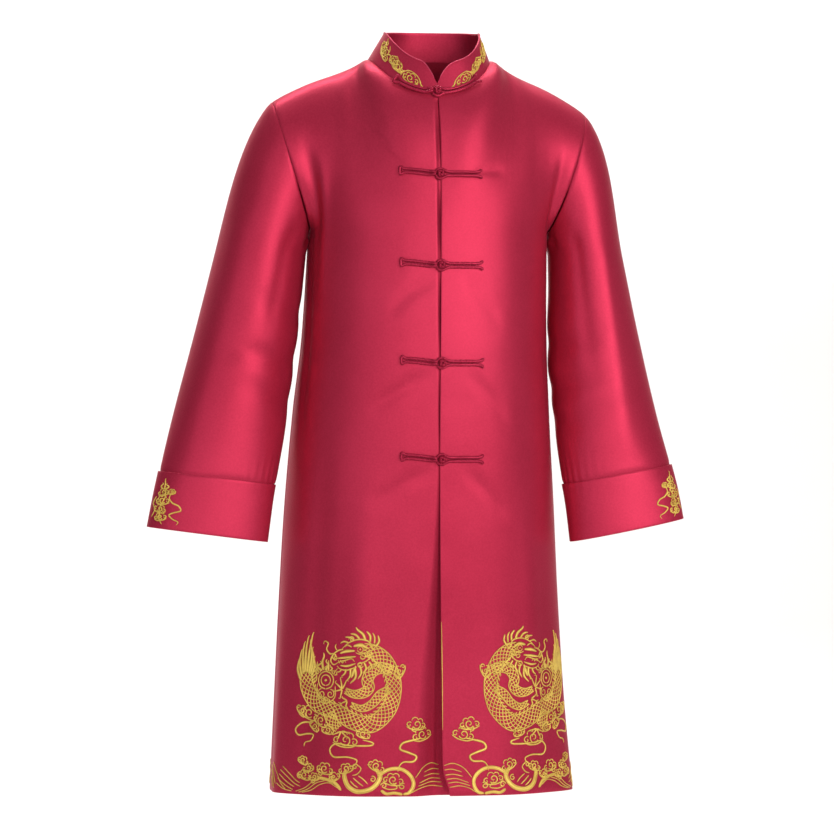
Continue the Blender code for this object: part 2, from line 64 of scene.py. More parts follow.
camera = bpy.data.objects.new("camera", bpy.data.cameras.new("camera"))
camera.data.sensor_width = SENSOR_MM
camera.data.lens = SENSOR_MM * CAMERA_FAR / PHOTO_WIDTH
to_camera = Vector((math.sin(CAMERA_TURN), -math.cos(CAMERA_TURN), 0))
to_right = Vector((math.cos(CAMERA_TURN), math.sin(CAMERA_TURN), 0))
camera.location = Vector((0, 0, AIM_HEIGHT)) + AIM_ASIDE * to_right + CAMERA_FAR * to_camera
camera.rotation_euler = to_camera.to_track_quat("Z", "Y").to_euler()
bpy.context.collection.objects.link(camera)
bpy.context.scene.camera = camera
bpy.context.scene.view_settings.view_transform = "Standard"
print("camera at", [round(x, 3) for x in camera.location])

# %% [markdown]
# ## White sweep
# A photographer hangs a roll of paper and lets it curve onto the floor. A short grid does the
# same: each of its rows is set on the sweep's profile, and shading it smooth hides the rows.

# %% Floor and backdrop
FLOOR_Z = -1.45
SWEEP_HALF_WIDTH = 8
SWEEP = (  # depth and height of the profile
    (-9.0, 0.0), (2.2, 0.0), (2.9, 0.12), (3.3, 0.5), (3.45, 1.1), (3.5, 5.0),
)
sweep_mesh = bmesh.new()
bmesh.ops.create_grid(sweep_mesh, x_segments=1, y_segments=len(SWEEP) - 1, size=1)
for vert in sweep_mesh.verts:
    y, z = SWEEP[round((vert.co.y + 1) / 2 * (len(SWEEP) - 1))]
    vert.co = (vert.co.x * SWEEP_HALF_WIDTH, y, FLOOR_Z + z)
sweep = bpy.data.objects.new("sweep", bpy.data.meshes.new("sweep"))
sweep_mesh.to_mesh(sweep.data)
sweep_mesh.free()
sweep.data.shade_smooth()
bpy.context.collection.objects.link(sweep)
print("sweep from", SWEEP[0][0], "to", SWEEP[-1][0], "m")

# %% [markdown]
# ## Soft light
# Satin shows its lamps as wide, soft bands, so the lights decide where the jacket gleams. Tall
# softboxes stand at both sides of the camera, the stronger one on the wearer's left, where the
# photo is brightest. Two small ones near the camera lift the fronts, and a strong one lights
# only the sweep, which makes it white.

# %% Lights
WORLD_LIGHT, SWEEP_Y = 0.22, 3.0
WARM, COOL = (1.0, 0.97, 0.94), (0.95, 0.97, 1.0)
SOFTBOXES = (  # name, place, aim height, width, height, watts, colour
    ("key", (1.5, -2.6, 0.35), -0.35, 0.7, 1.6, 37, WARM),
    ("fill", (-2.0, -3.0, 0.2), -0.45, 0.7, 1.8, 13, COOL),
    ("front", (-0.80, -5.6, -0.12), -0.20, 0.5, 0.4, 26, WARM),
    ("front left", (0.80, -4.2, 0.20), -0.30, 0.4, 0.9, 21, WARM),
    ("top", (0.2, -0.4, 2.2), 0.0, 1.2, 0.6, 5, WARM),
    ("backdrop", (0.0, 1.4, 2.8), 0.3, 3.4, 1.0, 190, WARM),
)
for name, place, aim, width, height, watts, colour in SOFTBOXES:
    lamp = bpy.data.objects.new(name, bpy.data.lights.new(name, "AREA"))
    lamp.data.shape, lamp.data.size, lamp.data.size_y = "RECTANGLE", width, height
    lamp.data.energy, lamp.data.color = watts, colour
    lamp.location = place
    target = Vector((0, SWEEP_Y if name == "backdrop" else 0, aim))
    lamp.rotation_euler = (Vector(place) - target).to_track_quat("Z", "Y").to_euler()
    bpy.context.collection.objects.link(lamp)

world = bpy.data.worlds.new("studio")
world.use_nodes = True
world.node_tree.nodes["Background"].inputs["Color"].default_value = (1, 1, 1, 1)
world.node_tree.nodes["Background"].inputs["Strength"].default_value = WORLD_LIGHT
bpy.context.scene.world = world
print(len(SOFTBOXES), "softboxes")

# %% [markdown]
# ## Writing a material as sums
# A shader is easier to read as a formula than as boxes and wires. This class wraps one
# output of a node, and each sum, product or power on it adds the Math node that works it out.

# %% A small language for shaders
class Wire:
    """One output socket, with arithmetic."""

    def __init__(self, tree, socket):
        self.tree, self.socket = tree, socket

    def math(self, operation, first, second=0.0, clamp=False):
        node = self.tree.nodes.new("ShaderNodeMath")
        node.operation, node.use_clamp = operation, clamp
        for slot, value in zip(node.inputs, (first, second)):
            if isinstance(value, Wire):
                self.tree.links.new(value.socket, slot)
            else:
                slot.default_value = value
        return Wire(self.tree, node.outputs[0])

    def __add__(self, other):
        return self.math("ADD", self, other)

    def __sub__(self, other):
        return self.math("SUBTRACT", self, other)

    def __rsub__(self, other):
        return self.math("SUBTRACT", other, self)

    def __mul__(self, other):
        return self.math("MULTIPLY", self, other)

    def __pow__(self, other):
        return self.math("POWER", self, other)

    def __mod__(self, other):
        return self.math("FLOORED_MODULO", self, other)

    __radd__, __rmul__ = __add__, __mul__

    def size(self):
        """The value without its sign."""
        return self.math("ABSOLUTE", self)

    def between(self, low, high):
        """0 below low, 1 above high."""
        return self.math("MULTIPLY", self - low, 1 / (high - low), clamp=True)


class Finish:
    """A Principled material and short ways to add nodes to it."""

    def __init__(self, name, **constants):
        self.material = bpy.data.materials.new(name)
        self.material.use_nodes = True
        self.tree = self.material.node_tree
        self.shader = self.tree.nodes["Principled BSDF"]
        for slot, value in constants.items():
            self.shader.inputs[slot.replace("_", " ")].default_value = value

    def node(self, kind, settings=(), output=0, **sockets):
        made = self.tree.nodes.new(kind)
        for key, value in dict(settings).items():
            setattr(made, key, value)
        for key, value in sockets.items():
            slot = made.inputs[int(key[1:]) if key[0] == "_" and key[1:].isdigit() else key]
            if isinstance(value, Wire):
                self.tree.links.new(value.socket, slot)
            else:
                slot.default_value = value
        return Wire(self.tree, made.outputs[output])

    def blend(self, share, first, second):
        """A colour between two colours."""
        colours = [c if isinstance(c, Wire) else (*c, 1) for c in (first, second)]
        return self.node("ShaderNodeMix", {"data_type": "RGBA"}, 2, _0=share, _6=colours[0], _7=colours[1])

    def noise(self, at, scale, detail=2.0):
        return self.node("ShaderNodeTexNoise", (), 0, Vector=at, Scale=scale, Detail=detail)

    def split(self, at):
        node = self.tree.nodes.new("ShaderNodeSeparateXYZ")
        self.tree.links.new(at.socket, node.inputs[0])
        return [Wire(self.tree, out) for out in node.outputs]

    def join(self, x, y, z=0.0):
        return self.node("ShaderNodeCombineXYZ", (), 0, X=x, Y=y, Z=z)

    def set(self, **links):
        for slot, wire in links.items():
            self.tree.links.new(wire.socket, self.shader.inputs[slot.replace("_", " ")])

    def bump(self, height, depth):
        self.set(Normal=self.node("ShaderNodeBump", (), 0, Height=height, Distance=depth, Strength=1.0))


print("a wire knows", len([name for name in vars(Wire) if not name.startswith("__")]), "named steps")


# %% [markdown]
# ## Red satin
# Satin is woven so that long warp threads float on top. They lie side by side like combed
# hair, so the cloth has soft, wide highlights, a pink bloom where it turns away, and no dull
# crossings. The weave is a fine brick pattern of floats, far smaller than a pixel of the
# photo, so a very low bump is enough. UV units are metres of cloth, warp along V.

# %% Satin materials
THREAD = 0.00032  # pitch of the warp threads
FLOAT_LENGTH = 0.0016
WEAVE_DEPTH = 0.000018
SLUB_ACROSS, SLUB_ALONG = 900, 60  # uneven threads: thin across the warp, long along it
HAZE_SCALE, RIPPLE_SCALE, GRAIN_SCALE = 5.0, 16.0, 420.0
RIPPLE, GRAIN = 55, 4  # slow and fine unevenness, as multiples of the weave's depth
PINK_BLOOM, EDGE_RED = (1.0, 0.35, 0.50, 1), (0.70, 0.24, 0.32, 1)


def satin(name, deep, bright, roughness, shine):
    finish = Finish(name, Roughness=roughness, Metallic=shine, Sheen_Weight=0.04, Sheen_Roughness=0.4)
    finish.shader.inputs["Sheen Tint"].default_value = PINK_BLOOM
    finish.shader.inputs["Specular IOR Level"].default_value = 0.55
    finish.shader.inputs["Specular Tint"].default_value = EDGE_RED
    uv = finish.node("ShaderNodeUVMap", {"uv_map": "cloth"})
    place = finish.node("ShaderNodeTexCoord", (), 3)
    across, along, _ = finish.split(uv)
    column = across * (1 / THREAD)
    row = along * (1 / FLOAT_LENGTH) + (column.math("FLOOR", column) * 0.4)
    thread = 1 - (column % 1.0 * 2 - 1).size() ** 2
    ends = (row % 1.0 * 2 - 1).size() ** 10
    slub = finish.noise(finish.join(across * SLUB_ACROSS, along * SLUB_ALONG), 1.0, 1.0)
    haze = finish.noise(place, HAZE_SCALE, 3.0)
    ripple = finish.noise(place, RIPPLE_SCALE, 1.0)
    grain = finish.noise(place, GRAIN_SCALE, 2.0)
    tone = haze.between(0.3, 0.7) * 0.45 + slub * 0.15 + grain.between(0.3, 0.7) * 0.4
    finish.set(Base_Color=finish.blend(tone, deep, bright))
    finish.set(Roughness=haze * 0.08 + grain * 0.06 + (roughness - 0.07))
    finish.bump(thread - ends * 0.8 + slub * 0.5 + ripple * RIPPLE + grain * GRAIN, WEAVE_DEPTH)
    return finish.material


SATIN = satin("red_satin", (0.43, 0.018, 0.052), (0.58, 0.034, 0.086), 0.40, 0.46)
# the cords' satin is darker than the jacket's: partly their own colour, partly painted shade of the gaps
# between the cords and the cloth
CORD_WITH_PAINTED_SHADE = satin("cord_satin", (0.32, 0.010, 0.038), (0.46, 0.024, 0.066), 0.27, 0.35)
# paler satin for the collar's piping: a painted highlight along the collar's upper edge
PIPING_HIGHLIGHT_SATIN = satin("piping_satin", (0.60, 0.045, 0.11), (0.72, 0.08, 0.16), 0.38, 0.45)
print("satin threads every", THREAD * 1000, "mm")

# %% [markdown]
# ## Gold thread
# The motifs are worked in satin stitch: threads laid side by side across each line, from edge
# to edge. That gives every line a rounded back with fine ridges across it. The stitched lines
# below carry their own UV map, with U in metres along the line, so the ridges follow it, and
# V from -1 at one edge to 1 at the other. Towards both edges, and between the laid threads, the
# colour is darkened: that is painted shade, where the rounded back turns away and the threads part.

# %% Gold material
STITCH, STITCH_DEPTH = 0.00042, 0.00006  # one laid thread
STRAY_ALONG, STRAY_ACROSS, PATCH_SCALE = 2400, 0.4, 60.0
GOLD_DEEP, GOLD_BRIGHT = (0.38, 0.13, 0.008), (1.0, 0.74, 0.15)


def gold(name):
    finish = Finish(name, Roughness=0.34, Metallic=0.30)
    uv = finish.node("ShaderNodeUVMap", {"uv_map": "cloth"})
    place = finish.node("ShaderNodeTexCoord", (), 3)
    along, across, _ = finish.split(uv)
    ridge = (along * (1 / STITCH) % 1.0 * 2 - 1).size()
    stray = finish.noise(finish.join(along * STRAY_ALONG, across * STRAY_ACROSS), 1.0, 1.0)
    patch = finish.noise(place, PATCH_SCALE, 2.0)
    edge = across.size() ** 1.7
    # (1 - ridge ** 3) lightens the middle of each laid thread: painted shade between the threads
    tone = patch.between(0.35, 0.65) * 0.3 + stray * 0.3 + (1 - ridge ** 3) * 0.15
    # painted shade: the colour darkens towards both edges of a line
    tone = tone + (0.5 - edge * 0.95)
    finish.set(Base_Color=finish.blend(tone, GOLD_DEEP, GOLD_BRIGHT))
    finish.set(Roughness=stray * 0.25 + 0.27)
    finish.bump(stray * 0.6 - ridge ** 2, STITCH_DEPTH)
    return finish.material


GOLD = gold("gold_thread")
print("gold stitches every", STITCH * 1000, "mm")

# %% [markdown]
# ## The jacket's form
# A tailor thinks of a body as a stack of rings. Each row of the first table is one ring, and a
# smooth curve joins the rows. Above the armpit every upright line of a panel bends over to
# the neckline or to the shoulder seam. All of this works on whole arrays of points at once,
# because a fine mesh has tens of thousands of them. These are the frame's own sizes.

# %% Sizes of the body
TINY = 0.001
SEAM_GAP = 0.0003
ROUNDNESS = 0.87  # power of the sine and cosine of a body ring, 1 for an ellipse
ARMPIT_Z = -0.235
NECK_HALF, NECK_FRONT, NECK_BACK = 0.085, 0.092, 0.052
NECK_RISE, NECK_DROP, NECK_SCOOP = 0.005, 0.046, 1.7
NECK_SHARE = 1 / 3
BODY_RINGS = (  # z, right, left, front, back: distances from the axis
    (-1.014, 0.221, 0.201, 0.128, 0.140),
    (-0.895, 0.216, 0.190, 0.128, 0.132),
    (-0.760, 0.210, 0.182, 0.130, 0.122),
    (-0.620, 0.202, 0.176, 0.132, 0.112),
    (-0.484, 0.190, 0.169, 0.134, 0.104),
    (-0.386, 0.178, 0.166, 0.134, 0.101),
    (ARMPIT_Z, 0.168, 0.168, 0.126, 0.104),
)
HEM_Z = BODY_RINGS[0][0]
SHOULDER_HALF = 0.221
SHOULDER_DROP = {-1: 0.055, 1: 0.068}
SHOULDER_LINE = ((0, 0), (0.10, 0.13), (0.25, 0.27), (0.60, 0.55), (0.85, 0.81), (1, 1))
ARMHOLE_REACH, ARMHOLE_NARROWING = 0.060, 1.2
CHEST_TILT, NAPE_TILT = math.radians(25), math.radians(35)
CHEST_FULLNESS, SHOULDER_FULLNESS = 0.4, 1.5
CORNER_TURN, CORNER_SHARE, CORNER_EASE = math.radians(45), 0.45, 0.24
FLUTE_TOP_Z = -0.620
FLUTES = {  # soft flutes towards the hem: place round a half panel, width, depth
    (-1, -1): ((0.30, 0.10, 0.0030), (0.62, 0.12, -0.0040), (0.86, 0.09, 0.0035)),
    (1, -1): ((0.26, 0.10, 0.0025), (0.55, 0.12, -0.0035), (0.82, 0.10, 0.0030)),
    (-1, 1): ((0.18, 0.12, 0.0045), (0.48, 0.13, -0.0050), (0.78, 0.11, 0.0045)),
    (1, 1): ((0.22, 0.12, 0.0050), (0.52, 0.12, -0.0045), (0.80, 0.11, 0.0040)),
}


print("body rings from", BODY_RINGS[0][0], "to", ARMPIT_Z, "m")

# %% [markdown]
# ## Curves for a whole grid
# A modeller would loft the body through its rings with a surface object. Here the same curves
# are formulas on arrays, so that folds, embroidery and frogs can ask for any point of the cloth
# later. A Hermite curve joins two places with a given direction at each.

# %% Curves on arrays
def smooth(x):
    x = np.clip(x, 0, 1)
    return x * x * (3 - 2 * x)


def points(x, y, z):
    return np.stack(np.broadcast_arrays(x, y, z), axis=-1).astype(float)


def unit(vectors):
    return vectors / np.maximum(np.linalg.norm(vectors, axis=-1, keepdims=True), 1e-12)


def hermite(start, end, start_pull, end_pull, t):
    return (
        start * (2 * t**3 - 3 * t**2 + 1)
        + start_pull * (t**3 - 2 * t**2 + t)
        + end * (3 * t**2 - 2 * t**3)
        + end_pull * (t**3 - t**2)
    )


def rows_at(rows, z):
    """Every column of a table at the heights z, on a smooth curve through its rows."""
    table = np.array(sorted(rows), float)
    knots = table[:, 0]
    last = len(knots) - 1
    after, before = np.minimum(np.arange(last + 1) + 1, last), np.maximum(np.arange(last + 1) - 1, 0)
    slopes = (table[after] - table[before]) / (knots[after] - knots[before])[:, None]
    z = np.asarray(z, float)
    k = np.clip(np.searchsorted(knots, z, side="left") - 1, 0, last - 1)
    span = (knots[k + 1] - knots[k])[..., None]
    t = (z[..., None] - knots[k][..., None]) / span
    found = hermite(table[k], table[k + 1], slopes[k] * span, slopes[k + 1] * span, t)
    return np.moveaxis(found, -1, 0)


def rounded(x):
    return np.sign(x) * np.abs(x) ** ROUNDNESS


print("half-way between two rows:", rows_at(BODY_RINGS, np.array([-0.55]))[:, 0].round(3))

# %% [markdown]
# ## Below the armpit
# The skirt of the jacket is a stack of rings, a little squarer than ellipses, with soft flutes
# that grow towards the hem, as cut cloth hangs. A half panel's u runs from the middle, 0, to the
# side seam, 1.

# %% Body below the armpit
def ring_point(side, face, u, z):
    _, right, left, front, back = rows_at(BODY_RINGS, z)
    angle = u * math.pi / 2
    x = side * (left if side > 0 else right) * rounded(np.sin(angle))
    y = (-front if face < 0 else back) * rounded(np.cos(angle))
    grown = smooth((FLUTE_TOP_Z - z) / (FLUTE_TOP_Z - HEM_Z))
    push = sum(depth * np.exp(-(((u - at) / width) ** 2)) for at, width, depth in FLUTES[side, face])
    x = x + grown * push * side * np.sin(angle)
    return points(x, y + grown * push * face * np.cos(angle), z)


def line_length(line):
    return np.linalg.norm(np.diff(line, axis=0), axis=1).sum()


hem_us = np.linspace(0, 1, 100)
hem_girth = sum(
    line_length(ring_point(side, face, hem_us, np.full_like(hem_us, HEM_Z)))
    for side in (-1, 1) for face in (-1, 1)
)
print("girth at the hem", round(hem_girth, 3), "m")

# %% [markdown]
# ## Seams above the armpit
# The upper body is set by three seams: the armhole, which leans forward and in towards the
# armpit, the neckline, which drops in front, and the shoulder seam between them. Where neckline
# and shoulder meet there is a corner, and the cloth below it must not crease, so its curves aim
# at a softened copy of that edge.

# %% Armhole, neckline and shoulder
ARMPIT_HALF = {-1: BODY_RINGS[-1][1], 1: BODY_RINGS[-1][2]}


def armhole(side, turn):
    """The armhole seam: turn is 0 at the armpit, a half at the shoulder, 1 back at the armpit."""
    angle = 2 * math.pi * turn
    rise = (1 - np.cos(angle)) / 2
    x = SHOULDER_HALF - (SHOULDER_HALF - ARMPIT_HALF[side]) * (1 - rise) ** ARMHOLE_NARROWING
    z = ARMPIT_Z + (-SHOULDER_DROP[side] - ARMPIT_Z) * rise
    return points(side * x, -ARMHOLE_REACH * np.sin(angle), z)


def neckline(side, face, share):
    angle = np.asarray(share * math.pi / 2, float)
    x = side * NECK_HALF * rounded(np.sin(angle))
    if face < 0:
        drop = (NECK_DROP + NECK_RISE) * np.maximum(np.cos(angle), 0) ** NECK_SCOOP
        return points(x, -NECK_FRONT * rounded(np.cos(angle)), NECK_RISE - drop)
    return points(x, NECK_BACK * rounded(np.cos(angle)), NECK_RISE)


def top_edge(side, face, u):
    out = np.clip((u - NECK_SHARE) / (1 - NECK_SHARE), 0, 1)
    fall = rows_at(SHOULDER_LINE, out)[1] * (NECK_RISE + SHOULDER_DROP[side])
    x = side * (NECK_HALF + (SHOULDER_HALF - NECK_HALF) * out)
    shoulder = points(x, 0 * out, NECK_RISE - fall)
    neck = neckline(side, face, np.clip(u / NECK_SHARE, -1, 1))
    return np.where((u <= NECK_SHARE)[..., None], neck, shoulder)


def eased_top(side, face, u, rise):
    """The top edge as the cloth below it feels it: its corner softens downwards."""
    reach = CORNER_EASE * smooth(1.2 * (1 - rise)) * (1 - smooth((u - 0.6) / 0.35))
    places = np.linspace(-1, 1, 11)[1:-1]
    weights = (1 - places**2) ** 2
    shares = weights / weights.sum()
    return sum(share * top_edge(side, face, u + at * reach) for at, share in zip(places, shares))


print("armhole", round(line_length(armhole(1, hem_us)), 3), "m round")

# %% [markdown]
# ## Above the armpit
# Every upright line of a panel starts with the skirt's own direction at the armpit and bends
# over to the top edge: flat under the neckline, round over the shoulder. The outermost line is
# pulled onto the armhole seam, so that the sleeve meets it exactly.

# %% Body above the armpit
def chest_column(side, face, u, rise):
    low, high = ring_point(side, face, u, np.full_like(u, ARMPIT_Z)), eased_top(side, face, u, rise)
    below = ring_point(side, face, u, np.full_like(u, ARMPIT_Z - TINY))
    over = smooth(u / NECK_SHARE)
    past = (u - NECK_SHARE) / (1 - NECK_SHARE)
    turned = CORNER_TURN * over * (1 - smooth(past / CORNER_SHARE))
    start_tilt = CHEST_TILT if face < 0 else NAPE_TILT
    tilt = start_tilt + (math.pi / 2 - start_tilt) * over
    up, deep = high[..., 2] - low[..., 2], np.abs(high[..., 1] - low[..., 1])
    reach = up * (1 - over) + SHOULDER_FULLNESS * deep * over
    start_pull = (low - below) * ((1 + CHEST_FULLNESS * over) * up / TINY)[..., None]
    level = np.sin(tilt)
    lean = points(-side * np.sin(turned) * level, -face * np.cos(turned) * level, np.cos(tilt))
    return hermite(low, high, start_pull, reach[..., None] * lean, rise[..., None])


def chest_point(side, face, u, rise):
    turn = rise / 2 if face < 0 else 1 - rise / 2
    pull = armhole(side, turn) - chest_column(side, face, np.ones_like(u), rise)
    return chest_column(side, face, u, rise) + pull * np.maximum(u, 0)[..., None] ** 3


def panel_point(side, face, u, v):
    """A half panel's outer face: v is 0 at the hem, 1 at the armpit and 2 at the top edge."""
    u, v = np.broadcast_arrays(np.asarray(u, float), np.asarray(v, float))
    low = ring_point(side, face, u, HEM_Z + (ARMPIT_Z - HEM_Z) * np.minimum(v, 1))
    high = chest_point(side, face, u, np.maximum(v - 1, 0))
    return np.where((v <= 1)[..., None], low, high)


middle_line = panel_point(1, -1, 0.0, np.linspace(0, 2, 100))
print("front from hem to neck", round(line_length(middle_line), 3), "m")

# %% [markdown]
# ## The opening
# The left front lies on the right one. Its free edge wanders a little between the fastenings,
# and below the last one the right edge falls back, which leaves the dark slot of the photo.

# %% Fronts
OVERLAP, OVERLAP_GROWTH = 0.015, 0.03
LAP_DEPTH, LAP_DEPTH_GROWTH, LAP_START_Z, LAP_TOP_Z = 0.0026, 0.014, -0.047, -0.066
LAP_BELLY, LAP_WIDTH, LAP_HEM_GROWTH = 0.0022, 0.006, 0.034
EDGE_SWAY, EDGE_SWAY_LENGTH, EDGE_SWAY_MIDDLE, EDGE_EASE = 0.0022, 0.16, -0.30, 0.05
EDGE_CORNER, EDGE_CORNER_HEIGHT = 0.010, 0.055
HEM_FALL, FALL_TOP_Z = 0.016, -0.540
FROG_LEVELS = (None, -0.160, -0.286, -0.420, -0.552)


def opening_edge(z):
    sway = EDGE_SWAY * np.sin((z - EDGE_SWAY_MIDDLE) / EDGE_SWAY_LENGTH) * smooth(-z / 0.12)
    return sway + EDGE_CORNER * smooth((HEM_Z + EDGE_CORNER_HEIGHT - z) / EDGE_CORNER_HEIGHT) ** 2


def lap_depth(z):
    under = LAP_DEPTH * smooth((LAP_START_Z - z) / LAP_DEPTH_GROWTH)
    frogs = [-NECK_DROP, *FROG_LEVELS[1:]]
    for a, b in zip(frogs, frogs[1:]):
        under = under + LAP_BELLY * np.sin(math.pi * (a - z) / (a - b)) ** 2 * ((z < a) & (z > b))
    return under + HEM_FALL * smooth((FALL_TOP_Z - z) / (FALL_TOP_Z - HEM_Z))


def front_point(side, u, v):
    point = panel_point(side, -1, u, v)
    x, z = point[..., 0], point[..., 2]
    if side > 0:
        point[..., 0] = x + opening_edge(z) * (1 - smooth(x / EDGE_EASE))
        return point
    width = LAP_WIDTH + LAP_HEM_GROWTH * smooth((FALL_TOP_Z - z) / (FALL_TOP_Z - HEM_Z))
    edge = OVERLAP * smooth((LAP_TOP_Z - z) / OVERLAP_GROWTH) - SEAM_GAP
    x = x + (edge + opening_edge(z)) * (1 - smooth(-x / EDGE_EASE))
    point[..., 0] = x
    point[..., 1] += lap_depth(z) * (1 - smooth(-x / width))
    return point


print("the right front falls back by", round(float(lap_depth(HEM_Z)) * 1000, 1), "mm at the hem")

# %% [markdown]
# ## Form of the sleeves
# A sleeve hangs as a slightly bent tube: rings again, whose inner, outer, front and rear
# distances change down the arm. Short slanting folds lie inside the elbow. Above the first ring
# each line runs from the armhole seam over the sleeve's head. Turn is 0 on the inner side.

# %% Sleeves
CUFF_DEPTH, CAP_SHARE = 0.078, 0.38  # a cuff's depth, and the part of v that the head takes
CUFF_SLOPE = {-1: 0.13, 1: 0.20}
SLEEVE_RINGS = {  # z, inner, outer, front, back: distances out from the body's axis
    -1: (
        (-0.269, 0.177, 0.300, 0.066, 0.070),
        (-0.386, 0.190, 0.330, 0.072, 0.060),
        (-0.504, 0.208, 0.361, 0.078, 0.040),
        (-0.602, 0.225, 0.385, 0.083, -0.003),
        (-0.656, 0.233, 0.396, 0.086, -0.014),
    ),
    1: (
        (-0.269, 0.1755, 0.2755, 0.066, 0.070),
        (-0.386, 0.1765, 0.298, 0.072, 0.060),
        (-0.504, 0.178, 0.322, 0.078, 0.040),
        (-0.602, 0.190, 0.3435, 0.083, -0.003),
        (-0.652, 0.195, 0.352, 0.086, -0.014),
    ),
}
ELBOW_FOLDS = {  # across the inside of each sleeve: z, turn, reach round it, depth
    -1: ((-0.352, 0.06, 0.16, -0.0022), (-0.418, 0.10, 0.18, -0.0030), (-0.470, 0.05, 0.15, -0.0020)),
    1: ((-0.395, 0.07, 0.17, -0.0026), (-0.452, 0.04, 0.16, -0.0034), (-0.500, 0.09, 0.15, -0.0022)),
}
FOLD_WIDTH = 0.016


def sleeve_ring(side, turn, z):
    _, inner, outer, front, back = rows_at(SLEEVE_RINGS[side], z)
    angle = 2 * math.pi * turn
    middle, half = (inner + outer) / 2, (outer - inner) / 2
    x = middle - half * np.cos(angle)
    y = (back - front) / 2 - (front + back) / 2 * np.sin(angle)
    top, end = SLEEVE_RINGS[side][0][0], SLEEVE_RINGS[side][-1][0]
    tilt = CUFF_SLOPE[side] * smooth((top - z) / (top - end))
    push = 0
    for level, at, reach, depth in ELBOW_FOLDS[side]:
        away = np.minimum(np.abs(turn - at), 1 - np.abs(turn - at))
        push = push + depth * np.exp(-(((z - level - 0.10 * away) / FOLD_WIDTH) ** 2) - (away / reach) ** 2)
    x_out, y_out = x - push * np.cos(angle), y - push * np.sin(angle)
    return points(side * x_out, y_out, z + (x - middle) * tilt)


def sleeve_point(side, turn, v):
    """turn goes round as on the armhole, v from 0 at the armhole to 1 at the sleeve's end."""
    turn, v = np.broadcast_arrays(np.asarray(turn, float), np.asarray(v, float))
    top, end = SLEEVE_RINGS[side][0][0], SLEEVE_RINGS[side][-1][0]
    ring = sleeve_ring(side, turn, top + (end - top) * np.maximum(v - CAP_SHARE, 0) / (1 - CAP_SHARE))
    high = (1 - np.cos(2 * math.pi * turn)) / 2
    away = unit(points(side * (0.10 + 0.54 * high), 0, 0.23 * high - 1))
    start = armhole(side, turn) + SEAM_GAP * np.array((side, 0, 0)) + SEAM_GAP * away
    low = sleeve_ring(side, turn, np.full_like(turn, top))
    along = unit(sleeve_ring(side, turn, np.full_like(turn, top - 0.01)) - low)
    reach = np.linalg.norm(low - start, axis=-1, keepdims=True)
    share = (np.minimum(v, CAP_SHARE) / CAP_SHARE)[..., None]
    cap = hermite(start, low, 0.9 * reach * away, reach * along, share)
    return np.where((v >= CAP_SHARE)[..., None], ring, cap)


def cuff_top(side):
    """Where a cuff's upper edge lies, as the sleeve's v."""
    top, end = SLEEVE_RINGS[side][0][0], SLEEVE_RINGS[side][-1][0]
    return 1 - (1 - CAP_SHARE) * CUFF_DEPTH / (top - end)


outer_line = sleeve_point(1, 0.5, np.linspace(0, 1, 100))
print("left sleeve", round(line_length(outer_line), 3), "m along its outer side")

# %% [markdown]
# ## Form of the collar
# A stand collar follows the neckline, leans in a little, and gets lower towards its rounded
# front ends. It is one band, so one formula serves all of it: around runs from the right
# front's end over the nape to the left front's end.

# %% Collar
COLLAR_HEIGHT, COLLAR_END_HEIGHT = 0.042, 0.0125
COLLAR_ROUNDING, COLLAR_END_POWER = 0.030, 2.2
COLLAR_SWAY, FRONT_PART = 0.005, 0.62
COLLAR_LEAN = {-1: math.radians(14), 0: math.radians(26), 1: math.radians(8)}


def collar_half(side, face, share, height):
    base = neckline(side, face, share) + np.array((0, 0, SEAM_GAP))
    angle = share * math.pi / 2
    out = unit(points(side * np.sin(angle), face * np.cos(angle), 0))
    lean = COLLAR_LEAN[face] + (COLLAR_LEAN[0] - COLLAR_LEAN[face]) * np.sin(angle) ** 2
    tall = np.full_like(share, COLLAR_HEIGHT)
    if face < 0:
        from_end = np.linalg.norm(base - neckline(side, -1, np.zeros_like(share)), axis=-1)
        left = np.maximum(1 - from_end / COLLAR_ROUNDING, 0)
        tall = COLLAR_END_HEIGHT + (COLLAR_HEIGHT - COLLAR_END_HEIGHT) * (1 - left**COLLAR_END_POWER)
    rise = (tall * height)[..., None] * (points(0, 0, np.cos(lean)) - np.sin(lean)[..., None] * out)
    nudge = SEAM_GAP * (1 - smooth(np.abs(base[..., 0]) / 0.01)) * side
    nudge = nudge + COLLAR_SWAY * rise[..., 2] / COLLAR_HEIGHT * smooth(np.abs(base[..., 0]) / 0.04)
    return base + rise + nudge[..., None] * np.array((1, 0, 0))


def collar_point(around, height):
    """around is 0 at the right front's end, a half at the nape and 1 at the left front's end."""
    around, height = np.broadcast_arrays(np.asarray(around, float), np.asarray(height, float))
    near = np.abs(around - 0.5) * 2
    found = np.zeros((*around.shape, 3))
    for side in (-1, 1):
        for face in (-1, 1):
            share = np.clip((1 - near) / FRONT_PART if face < 0 else near / (1 - FRONT_PART), 0, 1)
            here = ((around < 0.5) == (side < 0)) & ((near > 1 - FRONT_PART) == (face < 0))
            found = np.where(here[..., None], collar_half(side, face, share, height), found)
    return found


collar_seam = collar_point(np.linspace(0, 1, 200), 0.0)
print("collar", round(line_length(collar_seam), 3), "m along the neck seam")

# %% [markdown]
# ## Folds and seams
# Cloth that fits this smoothly has few creases, and each has a cause: the pull of a knot, the
# bend of an arm, the armhole's seam. Each one here is a soft trough or ridge, placed along a
# short line in its panel's own coordinates, with its own width and depth. A seam draws
# its cloth in by a millimetre on both sides.

